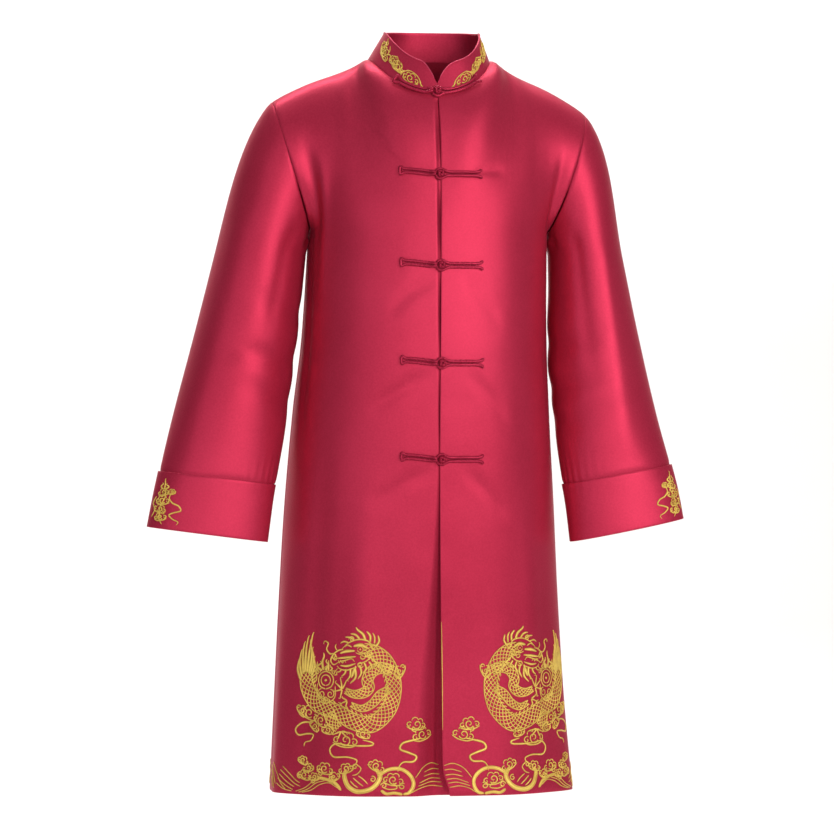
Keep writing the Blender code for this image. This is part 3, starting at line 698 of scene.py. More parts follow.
# %% Creases of the panels
def crease(u, v, start, end, width, depth):
    """A soft groove (depth below 0) or ridge along a line from start to end in (u, v)."""
    start, end, scale = np.array(start), np.array(end), np.array((1.0, RELIEF_ASPECT))
    line = (end - start) * scale
    du, dv = (u - start[0]) * scale[0], (v - start[1]) * scale[1]
    along = (du * line[0] + dv * line[1]) / (line @ line)
    off = (du * line[1] - dv * line[0]) / np.linalg.norm(line)
    body = smooth((along + 0.15) / 0.45) * smooth((1.15 - along) / 0.45)
    return depth * np.exp(-((off / width) ** 2)) * body


RELIEF_ASPECT = 2.6  # metres of a panel up its v for each metre across its u
PANEL_CREASES = {  # start, end, width, depth
    (-1, -1): (
        ((0.86, 1.55), (0.80, 0.92), 0.055, -0.0040),
        ((0.74, 1.40), (0.70, 0.85), 0.050, 0.0022),
        ((0.95, 1.10), (0.78, 0.62), 0.050, -0.0026),
        ((0.16, 1.38), (0.40, 1.47), 0.045, -0.0010),
        ((0.05, 0.915), (0.24, 0.85), 0.030, -0.0014),
        ((0.05, 0.745), (0.30, 0.68), 0.032, -0.0016),
        ((0.05, 0.575), (0.28, 0.51), 0.030, -0.0016),
        ((0.30, 0.52), (0.34, 0.05), 0.080, 0.0028),
        ((0.55, 0.60), (0.60, 0.02), 0.070, -0.0026),
    ),
    (1, -1): (
        ((0.88, 1.50), (0.84, 0.95), 0.050, -0.0034),
        ((0.97, 1.05), (0.80, 0.70), 0.045, -0.0026),
        ((0.90, 0.88), (0.74, 0.74), 0.035, -0.0018),
        ((0.10, 1.34), (0.30, 1.24), 0.036, -0.0013),
        ((0.10, 0.915), (0.30, 0.83), 0.030, -0.0012),
        ((0.12, 0.745), (0.34, 0.66), 0.030, -0.0014),
        ((0.10, 0.575), (0.32, 0.49), 0.030, -0.0013),
        ((0.46, 0.50), (0.50, 0.04), 0.080, 0.0024),
    ),
    (-1, 1): (
        ((0.84, 1.50), (0.76, 0.90), 0.060, -0.0040),
        ((0.30, 0.66), (0.36, 0.02), 0.080, 0.0034),
        ((0.58, 0.60), (0.64, 0.02), 0.070, -0.0032),
        ((0.92, 1.02), (0.62, 0.82), 0.045, -0.0024),
    ),
    (1, 1): (
        ((0.82, 1.46), (0.78, 0.92), 0.060, -0.0038),
        ((0.26, 0.60), (0.28, 0.02), 0.080, 0.0030),
        ((0.52, 0.66), (0.56, 0.02), 0.070, -0.0034),
        ((0.94, 0.98), (0.66, 0.74), 0.045, -0.0026),
    ),
}


SEAM_DRAW, SIDE_SEAM_WIDTH, SHOULDER_SEAM_WIDTH = 0.0009, 0.012, 0.03
HEM_STITCH_AT, HEM_STITCH_WIDTH, HEM_STITCH_DEPTH = 0.030, 0.006, 0.0006


def dip(away, width):
    """1 in the middle of a groove and nearly 0 two widths off."""
    return np.exp(-((away / width) ** 2))


def panel_relief(side, face, u, v):
    u = np.abs(u)
    found = sum(crease(u, v, *row) for row in PANEL_CREASES[side, face])
    past_neck = np.clip((u - NECK_SHARE) / 0.1, 0, 1)
    seam = -SEAM_DRAW * (dip(1 - u, SIDE_SEAM_WIDTH) + dip(2 - v, SHOULDER_SEAM_WIDTH) * past_neck)
    hem_stitch = -HEM_STITCH_DEPTH * dip(v - HEM_STITCH_AT, HEM_STITCH_WIDTH)
    quiet = smooth(v / 0.01) * smooth((2 - v) / 0.01 + 0.4)
    return (found + hem_stitch) * quiet + seam


print(sum(len(rows) for rows in PANEL_CREASES.values()), "creases on the fronts and the back")

# %% [markdown]
# ## Folds of the sleeves
# The long folds run down from the armhole, and short ones lie inside the elbow. The inner side
# swells towards the body, where the sleeve rests against it. Small gathers sit over each cuff,
# because a sleeve is a little wider than the cuff that it is sewn into.

# %% Creases of the sleeves
SLEEVE_CREASES = {  # turn, start v, end v, drift of turn, width, depth
    -1: (
        (0.04, 0.05, 0.34, 0.03, 0.020, -0.0038),
        (0.93, 0.08, 0.36, -0.02, 0.022, -0.0034),
        (0.14, 0.10, 0.62, 0.05, 0.030, -0.0018),
        (0.36, 0.22, 0.88, 0.02, 0.045, 0.0020),
        (0.80, 0.30, 0.85, 0.03, 0.040, -0.0022),
        (0.02, 0.50, 0.60, 0.08, 0.014, -0.0016),
        (0.01, 0.62, 0.71, 0.09, 0.013, -0.0014),
        (0.0, 0.06, 0.92, 0.0, 0.09, 0.0048),
    ),
    1: (
        (0.05, 0.06, 0.36, 0.02, 0.020, -0.0036),
        (0.94, 0.06, 0.38, -0.03, 0.022, -0.0036),
        (0.16, 0.18, 0.70, 0.04, 0.030, -0.0024),
        (0.30, 0.30, 0.90, -0.02, 0.040, 0.0020),
        (0.78, 0.26, 0.80, 0.02, 0.040, -0.0024),
        (0.02, 0.40, 0.50, 0.09, 0.014, -0.0022),
        (0.01, 0.49, 0.60, 0.11, 0.015, -0.0024),
        (0.02, 0.61, 0.70, 0.08, 0.013, -0.0020),
        (0.0, 0.06, 0.78, 0.0, 0.09, 0.0045),
        (0.0, 0.44, 0.76, 0.0, 0.09, 0.0034),
    ),
}
CREASE_FADE_IN, CREASE_FADE_OUT = 0.12, 0.16
ARMHOLE_DRAW, ARMHOLE_SEAM_WIDTH = 0.0010, 0.012
CUFF_DRAW, CUFF_SEAM_BELOW, CUFF_SEAM_WIDTH = 0.0014, 0.002, 0.006
GATHERS_ROUND, INNER_SIDE = 35, 0.12  # gathers in a whole turn, which only the inner side has
GATHER_DEPTH, GATHER_REACH = 0.0013, 0.05


def inner_gathers(side, turn, v, reach):
    """Small waves round the sleeve near the cuff's seam, on its inner side."""
    waves = np.sin(turn * 2 * math.pi * GATHERS_ROUND)
    return waves * dip(cuff_top(side) - v, reach) * dip(turn - np.round(turn), INNER_SIDE)


def sleeve_relief(side, turn, v):
    found = 0
    for at, low, high, drift, width, depth in SLEEVE_CREASES[side]:
        along = np.clip((v - low) / (high - low), 0, 1)
        away = turn - at - drift * along
        away = away - np.round(away)
        fade = smooth((v - low) / CREASE_FADE_IN) * smooth((high - v) / CREASE_FADE_OUT)
        found = found + depth * dip(away, width) * fade
    top = cuff_top(side)
    seam = -ARMHOLE_DRAW * dip(v, ARMHOLE_SEAM_WIDTH)
    seam = seam - CUFF_DRAW * dip(top + CUFF_SEAM_BELOW - v, CUFF_SEAM_WIDTH)
    gathers = GATHER_DEPTH * inner_gathers(side, turn, v, GATHER_REACH) * (v < top)
    return found + seam + gathers


print(sum(len(rows) for rows in SLEEVE_CREASES.values()), "creases on the sleeves")

# %% [markdown]
# ## Cutting the cloth
# A piece of cloth starts as a flat grid. Its points are placed on the piece's surface, pushed
# along the normal by the relief, and the grid is extruded inwards to a thin wall whose rim is
# bevelled, like a turned and pressed edge. The UV map keeps real metres, so the weave has one
# scale all over.

# %% Grid helpers
SEAM_WELD, WELD = 1e-6, 1e-7
RIM_ANGLE, RIM_ROUNDING = math.radians(60), 0.3  # the rim's bevel, as a share of the wall


def numbered(shape, columns, rows):
    """A layer that keeps each grid point's column and row, for all that is made from it."""
    cell = shape.verts.layers.float_vector.new("cell")
    for vert in shape.verts:
        vert[cell] = (
            round((vert.co.x + 0.5) * (columns - 1)), round((vert.co.y + 0.5) * (rows - 1)), 0,
        )
    return cell


def cell_of(vert, cell):
    i, j, _ = vert[cell]
    return int(i), int(j)


def grid_normals(p, facing):
    du, dv = np.gradient(p, axis=0), np.gradient(p, axis=1)
    return facing * unit(np.cross(du, dv))


def tube_normals(p, facing):
    """As grid_normals, where the first and the last column are one."""
    wrapped = np.concatenate([p[-3:-1], p, p[1:3]])
    return grid_normals(wrapped, facing)[2:-2]


def running(line):
    """Distance walked from the start at each point of a line."""
    steps = np.linalg.norm(np.diff(line, axis=0), axis=-1)
    return np.concatenate([[0], np.cumsum(steps)])


def finished(name, shape, material):
    """A shown piece from a bmesh, riding on the one body, with its material and slot."""
    mesh = bpy.data.meshes.new(name)
    shape.to_mesh(mesh)
    shape.free()
    mesh.materials.append(material)
    mesh.shade_smooth()
    piece = bpy.data.objects.new(name, mesh)
    bpy.context.collection.objects.link(piece)
    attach(piece, "root")
    return piece


def no_relief(u, v):
    """No relief, for the stiff collar and cuffs."""
    return np.zeros_like(u)


def spaced(low, high, count):
    return list(np.linspace(low, high, count + 1))


print("a finished edge is rounded by", RIM_ROUNDING, "of the wall")

# %% The cloth maker
def wall_faces(u, v, surface, relief, wall, facing, joined, lift, seam_y, mitre):
    """Both faces of a piece of cloth, as arrays of points."""
    normals = tube_normals if joined else grid_normals
    base = surface(u, v)
    outer = base + (lift + relief(u, v))[..., None] * normals(base, facing)
    out = normals(outer, facing)
    if mitre is not None:
        out = mitre(u, v, out)
    inner = outer - wall * out
    if seam_y:
        for face in (outer, inner):
            face[..., 1] = seam_y * np.maximum(seam_y * face[..., 1], SEAM_GAP / 2)
    return outer, inner


def cloth(name, surface, relief, across, up, wall, facing, joined=False, lift=0.0, seam_y=0,
          mitre=None):
    u, v = np.meshgrid(np.array(across), np.array(up), indexing="ij")
    outer, inner = wall_faces(u, v, surface, relief, wall, facing, joined, lift, seam_y, mitre)
    steps_u = np.linalg.norm(np.diff(outer, axis=0), axis=-1).mean(axis=1)
    steps_v = np.linalg.norm(np.diff(outer, axis=1), axis=-1).mean(axis=0)
    chart_u, chart_v = (np.concatenate([[0], np.cumsum(steps)]) for steps in (steps_u, steps_v))
    shape = bmesh.new()
    bmesh.ops.create_grid(shape, x_segments=len(across) - 1, y_segments=len(up) - 1, size=0.5)
    cell = numbered(shape, len(across), len(up))
    for vert in shape.verts:
        vert.co = outer[cell_of(vert, cell)]
    chart = shape.loops.layers.uv.new("cloth")
    for face in shape.faces:
        for loop in face.loops:
            i, j = cell_of(loop.vert, cell)
            loop[chart].uv = (chart_u[i], chart_v[j])
    if joined:
        bmesh.ops.remove_doubles(shape, verts=shape.verts, dist=SEAM_WELD)
    made = bmesh.ops.extrude_face_region(shape, geom=shape.faces[:], use_keep_orig=True)
    for item in made["geom"]:
        if isinstance(item, bmesh.types.BMVert):
            item.co = inner[cell_of(item, cell)]
    bmesh.ops.recalc_face_normals(shape, faces=shape.faces)
    rim = [e for e in shape.edges if e.is_manifold and e.calc_face_angle(0) > RIM_ANGLE]
    bmesh.ops.bevel(
        shape, geom=rim, offset=wall * RIM_ROUNDING, offset_type="OFFSET", segments=2,
        profile=0.5, affect="EDGES", material=-1, clamp_overlap=True,
    )
    return finished(name, shape, SATIN)


def sheet_area(piece):
    """Half of a thin closed wall's surface, in square metres."""
    return sum(face.area for face in piece.data.polygons) / 2


# %% [markdown]
# ## Fronts and back
# The finest lines of the grid go where the cloth turns most: round the neck and over the
# shoulders. The fronts meet the back at the side and shoulder seams.

# %% Cut the body
BODY_WALL = 0.0016
TURNING = 0.014  # the neck's turnings run up inside the collar, in the panel's v


def with_turnings(surface):
    def grown(u, v):
        neck = 1 - smooth((np.abs(u) - 0.24) / 0.08)
        return surface(u, v + TURNING * neck * smooth((v - 1.95) / 0.05))

    return grown


ROWS = spaced(0, 1, 104) + spaced(1, 2, 72)[1:]
HALF = spaced(0, 0.09, 24) + spaced(0.09, NECK_SHARE, 26)[1:] + spaced(NECK_SHARE, 1, 58)[1:]
body_pieces = {}
for side, name in ((-1, "satin_front_right"), (1, "satin_front_left")):
    body_pieces[name] = cloth(
        name,
        with_turnings(lambda u, v, side=side: front_point(side, u, v)),
        lambda u, v, side=side: panel_relief(side, -1, u, v),
        HALF, ROWS, BODY_WALL, facing=side, seam_y=-1,
    )


def back_point(u, v):
    right, left = (panel_point(side, 1, np.abs(u), v) for side in (-1, 1))
    return np.where((u < 0)[..., None], right, left)


def back_relief(u, v):
    return np.where(u < 0, panel_relief(-1, 1, u, v), panel_relief(1, 1, u, v))


back_half = spaced(0, NECK_SHARE, 24) + spaced(NECK_SHARE, 1, 48)[1:]
body_pieces["satin_back"] = cloth(
    "satin_back", with_turnings(back_point), back_relief,
    [-u for u in reversed(back_half)] + back_half[1:], ROWS, BODY_WALL, facing=-1, seam_y=1,
)
for name, piece in body_pieces.items():
    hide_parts(name.removeprefix("satin_"))
    print(name, len(piece.data.polygons), "faces", round(sheet_area(piece), 3), "m2")

# %% [markdown]
# ## Sleeves
# A set-in sleeve is a tube whose head is eased into the armhole. The head's first ring takes
# the body's direction where the two walls turn a corner, so they meet edge to edge.

# %% Cut the sleeves
def body_normal(side, turn):
    face = np.where(turn < 0.5, -1, 1)
    rise = np.clip(np.where(turn < 0.5, 2 * turn, 2 - 2 * turn), TINY, 1 - TINY)
    found = np.zeros((*turn.shape, 3))
    for f in (-1, 1):
        at = [panel_point(side, f, np.ones_like(turn) - d, 1 + rise + e) for d, e in
              ((2 * TINY, 0), (0, 0), (TINY, -TINY), (TINY, TINY))]
        out = unit(np.cross(at[1] - at[0], at[3] - at[2])) * (-side * f)
        found = np.where((face == f)[..., None], out, found)
    return found


def sleeve_mitre(side):
    def turned(turn, v, out):
        body = body_normal(side, turn % 1.0)
        share = smooth(np.sum(out * body, axis=-1) / 0.4)[..., None]
        return np.where((v == 0)[..., None], unit(out * (1 - share) + body * share), out)

    return turned


CUFF_WALL, CUFF_STEP = 0.0018, 0.0005
CUFF_RIPPLE, CUFF_RIPPLE_REACH = 0.0005, 0.02
TURNS = spaced(0, 1, 120)
for side, name in ((-1, "right"), (1, "left")):
    sleeve = cloth(
        f"satin_sleeve_{name}",
        lambda u, v, side=side: sleeve_point(side, u, v),
        lambda u, v, side=side: sleeve_relief(side, u, v),
        TURNS, spaced(0, CAP_SHARE, 48) + spaced(CAP_SHARE, 1, 96)[1:], BODY_WALL,
        facing=-side, joined=True, mitre=sleeve_mitre(side),
    )
    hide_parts(f"sleeve_{name}")
    cuff = cloth(
        f"satin_cuff_{name}",
        lambda u, v, side=side: sleeve_point(side, u, v),
        lambda u, v, side=side: CUFF_RIPPLE * inner_gathers(side, u, v, CUFF_RIPPLE_REACH),
        TURNS, spaced(cuff_top(side), 1, 22), CUFF_WALL,
        facing=-side, joined=True, lift=CUFF_STEP + CUFF_WALL,
    )
    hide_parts(f"cuff_{name}")
    body_pieces[sleeve.name], body_pieces[cuff.name] = sleeve, cuff
    print(name, "sleeve", round(sheet_area(sleeve), 3), "m2, cuff", round(sheet_area(cuff), 3), "m2")

# %% [markdown]
# ## Collar
# A stand collar is a stiff band, sewn to the neckline by its lower edge. Its front ends are
# rounded, so that the two make a small V over the first fastening.

# %% Cut the collar
COLLAR_WALL = 0.0024


def level_out(u, v, out):
    level = unit(out * np.array((1, 1, 0)) + np.array((0, 0, -0.15)))
    return np.where((v == 0)[..., None], level, out)


collar_half_steps = list(np.array(spaced(0, 1, 24)) ** 1.7 * 0.2) + spaced(0.2, 0.5, 40)[1:]
collar = cloth(
    "satin_collar", collar_point, no_relief,
    collar_half_steps + [1 - u for u in reversed(collar_half_steps[:-1])],
    spaced(0, 1, 14), COLLAR_WALL, facing=-1, mitre=level_out,
)
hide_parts("collar")
body_pieces[collar.name] = collar
print("collar", round(sheet_area(collar), 4), "m2")

# %% [markdown]
# ## Drawing with strokes
# The embroiderer draws each motif flat, then works it on the cloth. Here a motif is a list of
# strokes. A stroke is a smooth line with a width at each point, in metres: s runs along the
# cloth and h up it. A bevelled curve object could draw it too, but it wouldn't follow a bent
# panel, so a stroke stays an array of points until it is laid on the cloth.

# %% Strokes
MM = 0.001
STITCH_STEP = 0.0017
LINE_HEIGHT, FILL_HEIGHT = 0.0010, 0.0005  # how far a line and a filled shape stand proud


def through(places, step=STITCH_STEP, measured=2):
    """A smooth line through places, with points about a step apart by its first coordinates."""
    p = np.array(places, float)
    ends = np.concatenate([[2 * p[0] - p[1]], p, [2 * p[-1] - p[-2]]])
    found = []
    for a, b, c, d in zip(ends, ends[1:], ends[2:], ends[3:]):
        t = np.arange(max(2, math.ceil(math.dist(b[:measured], c[:measured]) / step)))[:, None]
        t = t / len(t)
        bend = (2 * a - 5 * b + 4 * c - d) * t**2 + (3 * b - a - 3 * c + d) * t**3
        found.append(0.5 * (2 * b + (c - a) * t + bend))
    return np.concatenate([*found, p[-1:]])


def stroke(places, width, scale=1.0, start=0.2, end=0.2, blunt=0.35, height=LINE_HEIGHT):
    """A line that tapers over these shares of its length; blunt is its width left at an end."""
    line = through(np.array(places, float)[:, :2] * scale)
    run = running(line)
    share = run / run[-1]
    near = np.minimum(share / max(start, 1e-6), (1 - share) / max(end, 1e-6))
    body = blunt + (1 - blunt) * np.sqrt(np.clip(near, 0, 1))
    return np.column_stack([line, width * body, np.full(len(line), height)])


def pad(places, width, scale=1.0, height=FILL_HEIGHT):
    """A filled shape: a broad stroke with round ends."""
    return stroke(places, width * scale, scale, 0.5, 0.5, 0.25, height)


print("a line of 40 mm has", len(stroke([(0, 0), (20, 4), (40, 0)], 0.002, MM)), "points")

# %% [markdown]
# ## Turning and repeating a drawing
# A border is filled with one drawing that is turned, flipped and made larger or smaller. Each
# motif below is a short table of places, and these helpers make strokes of its rows.

# %% Curls, arcs and copies
def moved(strokes, at=(0, 0), turn=0.0, flip=1):
    """Strokes turned, mirrored and set down at a place."""
    c, d = math.cos(turn), math.sin(turn)
    found = []
    for line in strokes:
        x, y = line[:, 0] * flip, line[:, 1]
        found.append(np.column_stack([at[0] + c * x - d * y, at[1] + d * x + c * y, line[:, 2:]]))
    return found


def spiral(centre, radius, turns=1.4, start=0.0, hand=1, inner=0.18):
    t = np.linspace(0, 1, max(8, int(turns * 10)))
    r = radius * (1 - (1 - inner) * t)
    angle = start + hand * 2 * math.pi * turns * t
    return np.column_stack([centre[0] + r * np.cos(angle), centre[1] + r * np.sin(angle)])


def arc(centre, radius, low, high, squash=1.0):
    angle = np.radians(np.linspace(low, high, 9))
    x, y = radius * np.cos(angle), radius * squash * np.sin(angle)
    return np.column_stack([centre[0] + x, centre[1] + y])


def curls(rows, width, scale, start=0.1, height=LINE_HEIGHT, turns=1.3):
    """One curl for each row of centre, radius, first angle and hand."""
    return [
        stroke(spiral(centre, radius, turns, first, hand), width, scale, start, 0.3, height=height)
        for centre, radius, first, hand in rows
    ]


def drawn(rows, scale, start, end, blunt=0.25, height=0.0009, heavier=1):
    """One line for each row of places and width in millimetres."""
    return [
        stroke(line, heavier * width * MM, scale, start, end, blunt, height)
        for line, width in rows
    ]


# %% [markdown]
# ## Clouds and flames
# Chinese festive dress repeats a small stock of shapes: a cloud head with a curl in it, and a
# flame with three tongues. Each is drawn once, one unit wide, and set down at many places, so
# no two neighbours are quite alike in size and turn.

# %% Cloud heads and flames
def cloud(size, hand=1):
    """A cloud head: one big curl between two small ones, a crest over them and a line below."""
    middle = spiral((0.02, 0.0), 0.30, 1.3, 3.6, 1)
    found = [stroke(middle, 0.0024, size, 0.05, 0.3, height=0.0015)]
    for x, first, turn in ((0.46, 2.4, -1), (-0.46, 0.7, 1)):
        curl = spiral((x, -0.06), 0.19, 1.1, first, turn)
        found.append(stroke(curl, 0.0022, size, 0.05, 0.3, height=0.0013))
    found.append(stroke(arc((-0.12, 0.22), 0.20, 10, 190), 0.0019, size, height=0.0011))
    found.append(stroke(arc((0.22, 0.20), 0.17, -20, 150), 0.0019, size, height=0.0011))
    foot = [(-0.66, -0.18), (-0.25, -0.33), (0.25, -0.33), (0.66, -0.18)]
    found.append(stroke(foot, 0.0025, size, height=0.0012))
    return moved(found, flip=hand)


def clouds(rows, scale):
    """Cloud heads from rows of place, size, turn and hand."""
    found = []
    for at, size, turn, hand in rows:
        found += moved(cloud(size * scale, hand), (at[0] * scale, at[1] * scale), turn)
    return found


def flame(size, lean=0.0):
    """Three tongues on one root."""
    tips = ((-0.22, 0.62), (0.04, 1.0), (0.28, 0.55))
    return [
        stroke([(x * 0.3, 0), (x * 1.5, y * 0.45), (x * 0.6 + lean * y, y * 0.78), (x + lean * y, y)],
               0.20 * size, size, 0.15, 0.75, 0.12)
        for x, y in tips
    ]


print("a cloud head has", len(cloud(1)), "strokes")

# %% [markdown]
# ## The border of waves
# Old court robes end in standing water: fans of parallel lines near the hem, with rolling
# waves between them. Here every fan is a few thin lines, a wave is a broad band with an edge
# line on both sides, and cloud heads stand for the foam. Places are in millimetres from the
# front edge and from the hem.

# %% Waves along the hem
HEM_FANS = (
    ((1, 42), (14, 45), (28, 39), (40, 25)),
    ((1, 36), (12, 37), (26, 33)),
    ((1, 29), (13, 30), (27, 27)),
    ((1, 23), (16, 24), (35, 18)),
    ((1, 18), (17, 19), (37, 14)),
    ((1, 12), (18, 14), (34, 11), (47, 4)),
    ((236, 38), (224, 29), (213, 20), (205, 16)),
    ((240, 33), (226, 23), (214, 15), (204, 11)),
    ((243, 27), (228, 17), (214, 10)),
    ((246, 21), (230, 12), (216, 6)),
    ((248, 14), (234, 7), (218, 4)),
    ((262, 42), (254, 36), (248, 28), (240, 16), (228, 5)),
    ((278, 37), (268, 33), (258, 24), (250, 12)),
    ((278, 30), (269, 25), (261, 16), (254, 6)),
    ((278, 22), (270, 16), (263, 7)),
    ((212, 4), (196, 10), (182, 20), (168, 24)),
    ((207, 3), (192, 8), (178, 17), (164, 21)),
    ((202, 3), (186, 7), (172, 15), (158, 18), (148, 13), (139, 8)),
)
HEM_BANDS = (  # places and width
    (((90, 28), (76, 37), (60, 38), (47, 30), (42, 18), (47, 6), (56, 3)), 5.0),
    (((56, 3), (68, 5), (78, 4), (86, 9)), 4.2),
    (((94, 40), (87, 27), (97, 12), (116, 7), (130, 14), (136, 28), (133, 37)), 6.5),
    (((140, 8), (148, 17), (160, 22), (176, 25)), 4.5),
)
HEM_LINES = (
    ((103, 17), (110, 24), (117, 29)),
    ((109, 14), (117, 20), (124, 26)),
    ((116, 12), (122, 16), (128, 22)),
    ((118, 44), (113, 38), (118, 31), (125, 29)),
    ((70, 20), (64, 12), (74, 10), (84, 13)),
)
HEM_CURLS = (
    ((57, 14), 5.0, 2.4, -1), ((82, 15), 4.5, 0.0, 1), ((97, 24), 4.5, 1.0, 1),
    ((121, 41), 4.2, 3.1, -1), ((172, 31), 5.5, 0.2, 1), ((155, 22), 5.0, 2.8, -1),
    ((184, 20), 5.0, 0.8, 1), ((206, 26), 4.5, 1.2, -1),
)
HEM_CLOUDS = (
    ((92, 42), 19, 0.5, 1), ((134, 38), 17, -0.3, -1), ((69, 23), 22, 0.15, 1),
    ((165, 37), 20, 0.2, 1), ((151, 26), 15, -0.5, 1), ((198, 27), 17, 0.3, 1),
    ((192, 37), 15, -0.2, -1), ((201, 47), 14, 0.4, 1), ((182, 25), 14, 0.0, -1),
)
BAND_EDGE, BAND_EDGE_INSET = 0.0014, 0.0006


def wave_band(line, width):
    """A broad band with an edge line on both sides."""
    body = stroke(line, width * MM, MM, 0.12, 0.12, 0.4, FILL_HEIGHT)
    run = np.gradient(body[:, :2], axis=0)
    side = np.column_stack([-run[:, 1], run[:, 0]]) / np.linalg.norm(run, axis=1, keepdims=True)
    found = [body]
    for hand in (-1, 1):
        edge = body.copy()
        edge[:, :2] += hand * side * (body[:, 2] / 2 - BAND_EDGE_INSET)[:, None]
        edge[:, 2], edge[:, 3] = BAND_EDGE, LINE_HEIGHT
        found.append(edge)
    return found


def hem_border():
    found = [stroke(line, 0.0016, MM, 0.06, 0.12, 0.5) for line in HEM_FANS]
    for line, width in HEM_BANDS:
        found += wave_band(line, width)
    found += [stroke(line, 0.0021, MM) for line in HEM_LINES]
    return found + curls(HEM_CURLS, 0.0022, MM) + clouds(HEM_CLOUDS, MM)


hem = hem_border()
print(len(hem), "strokes along half a hem")

# %% [markdown]
# ## Streamers
# Between the waves and the roundel, thin ribbons trail from cloud heads. A streamer is one
# stroke with a full start and a long tapered end.

# %% Ribbons under the roundel
STREAMERS = (  # places and width, in millimetres
    (((30, 80), (44, 77), (57, 73), (60, 65), (48, 60),
      (38, 55), (42, 48), (56, 47), (62, 40), (63, 34)), 3.6),
    (((112, 78), (98, 74), (101, 70), (130, 70), (149, 72), (158, 64),
      (152, 54), (132, 54), (119, 50), (122, 43), (131, 40), (130, 36)), 3.0),
    (((186, 100), (204, 99), (215, 90), (210, 82), (196, 84),
      (186, 83), (190, 75), (199, 72), (201, 66)), 3.0),
)
STREAMER_CLOUDS = (((38, 99), 22, 0.1, -1), ((29, 85), 24, -0.25, 1))
CLOUD_STALK = ((43, 96), (44, 91), (38, 88))

ribbons = clouds(STREAMER_CLOUDS, MM)
ribbons.append(stroke(CLOUD_STALK, 0.0022, MM, 0.1, 0.1, 0.7))
ribbons += drawn(STREAMERS, MM, 0.1, 0.35, 0.3)
print(len(ribbons), "strokes for the streamers")

# %% [markdown]
# ## The coiled dragon's body
# Each front carries one roundel: a dragon that lies in a ring round a flaming pearl. It is this
# jacket's own drawing of an old motif. Its body and legs are a pair of edge lines with a net of
# scales between them, because an open net lets the red satin show, as real scales of couched
# thread do. One unit is the roundel's radius. The first number of a place runs outwards, to the
# side seam, the second one up, and the third is half the limb's width there.

# %% Limbs and scales
ROUNDEL_RADIUS = 0.078
ROUNDEL_AT = (0.134, 0.153)
TRUNK = (
    (-0.26, 0.62, 0.11), (-0.46, 0.58, 0.12), (-0.66, 0.42, 0.13), (-0.80, 0.14, 0.125),
    (-0.82, -0.16, 0.125), (-0.71, -0.46, 0.135), (-0.44, -0.69, 0.14), (-0.12, -0.64, 0.14),
    (0.16, -0.49, 0.13), (0.40, -0.42, 0.13), (0.64, -0.32, 0.145), (0.81, -0.08, 0.135),
    (0.87, 0.20, 0.11),
)
FORE_LEG = (
    (-0.80, 0.24, 0.06), (-0.62, 0.30, 0.09), (-0.44, 0.25, 0.10), (-0.35, 0.09, 0.095),
    (-0.38, -0.05, 0.09), (-0.28, -0.14, 0.085), (-0.12, -0.16, 0.065), (0.05, -0.10, 0.045),
)
LOW_LEG = (
    (-0.74, -0.06, 0.05), (-0.58, -0.17, 0.075), (-0.44, -0.33, 0.07), (-0.26, -0.41, 0.055),
    (-0.06, -0.34, 0.035),
)
HIND_LEG = ((0.36, -0.46, 0.11), (0.28, -0.64, 0.10), (0.15, -0.78, 0.07))
LIMB_STEP = 0.0012
NET_REACH = 2.3  # how far a line of the net runs on, in half widths of the limb
SPINE_PITCH, SPINE_REACH, SPINE_OUT = 0.0085, (0, 0.0035, 0.0065), (1.0, 1.24, 1.30)


def scaled_limb(places, pitch):
    """Both edges of a limb and the net of scales between them."""
    middle = through(np.array(places) * ROUNDEL_RADIUS, LIMB_STEP)
    run = np.gradient(middle[:, :2], axis=0)
    side = np.column_stack([-run[:, 1], run[:, 0]]) / np.linalg.norm(run, axis=1, keepdims=True)
    length = running(middle[:, :2])

    def spot(along, across):
        at = np.column_stack([np.interp(along, length, column) for column in (*middle.T, *side.T)])
        return at[:, :2] + at[:, 3:] * (at[:, 2] * across)[:, None]

    found = []
    for hand in (-1, 1):
        edge = spot(length, np.full(len(length), hand))
        found.append(stroke(edge, 0.0021, 1, 0.02, 0.02, 0.6, 0.0013))
    reach = NET_REACH * middle[:, 2].mean()
    for first in np.arange(-reach, length[-1], pitch):
        for hand in (-1, 1):
            c = np.linspace(-1, 1, 9)
            along = first + reach * (c + 1) / 2
            inside = (along > 0) & (along < length[-1])
            if inside.sum() > 2:
                scale_line = spot(along[inside], hand * c[inside])
                found.append(stroke(scale_line, 0.0018, 1, 0.05, 0.05, 0.7, 0.0009))
    return found, spot, length


def spines(spot, length, hand):
    """Small hooked spines along one edge."""
    found = []
    for at in np.arange(SPINE_PITCH, length[-1] - SPINE_PITCH, SPINE_PITCH):
        line = spot(at + np.array(SPINE_REACH), np.array(SPINE_OUT) * hand)
        found.append(stroke(line, 0.0026, 1, 0.1, 0.8, 0.2))
    return found


roundel = []
for limb, pitch in ((TRUNK, 0.0074), (FORE_LEG, 0.0064), (LOW_LEG, 0.0058), (HIND_LEG, 0.0064)):
    lines, spot, length = scaled_limb(limb, pitch)
    roundel += lines
    if limb is TRUNK:
        roundel += spines(spot, length, 1)
print("the dragon's body has", len(roundel), "strokes")

# %% [markdown]
# ## The dragon's head
# A dragon's head is the most worked part of a roundel: brow, snout and jaw are filled with
# dense stitches, then outlined, and horns, mane and beard are tapered locks. The fills come
# first and lie a little lower, so the outlines stand over them.

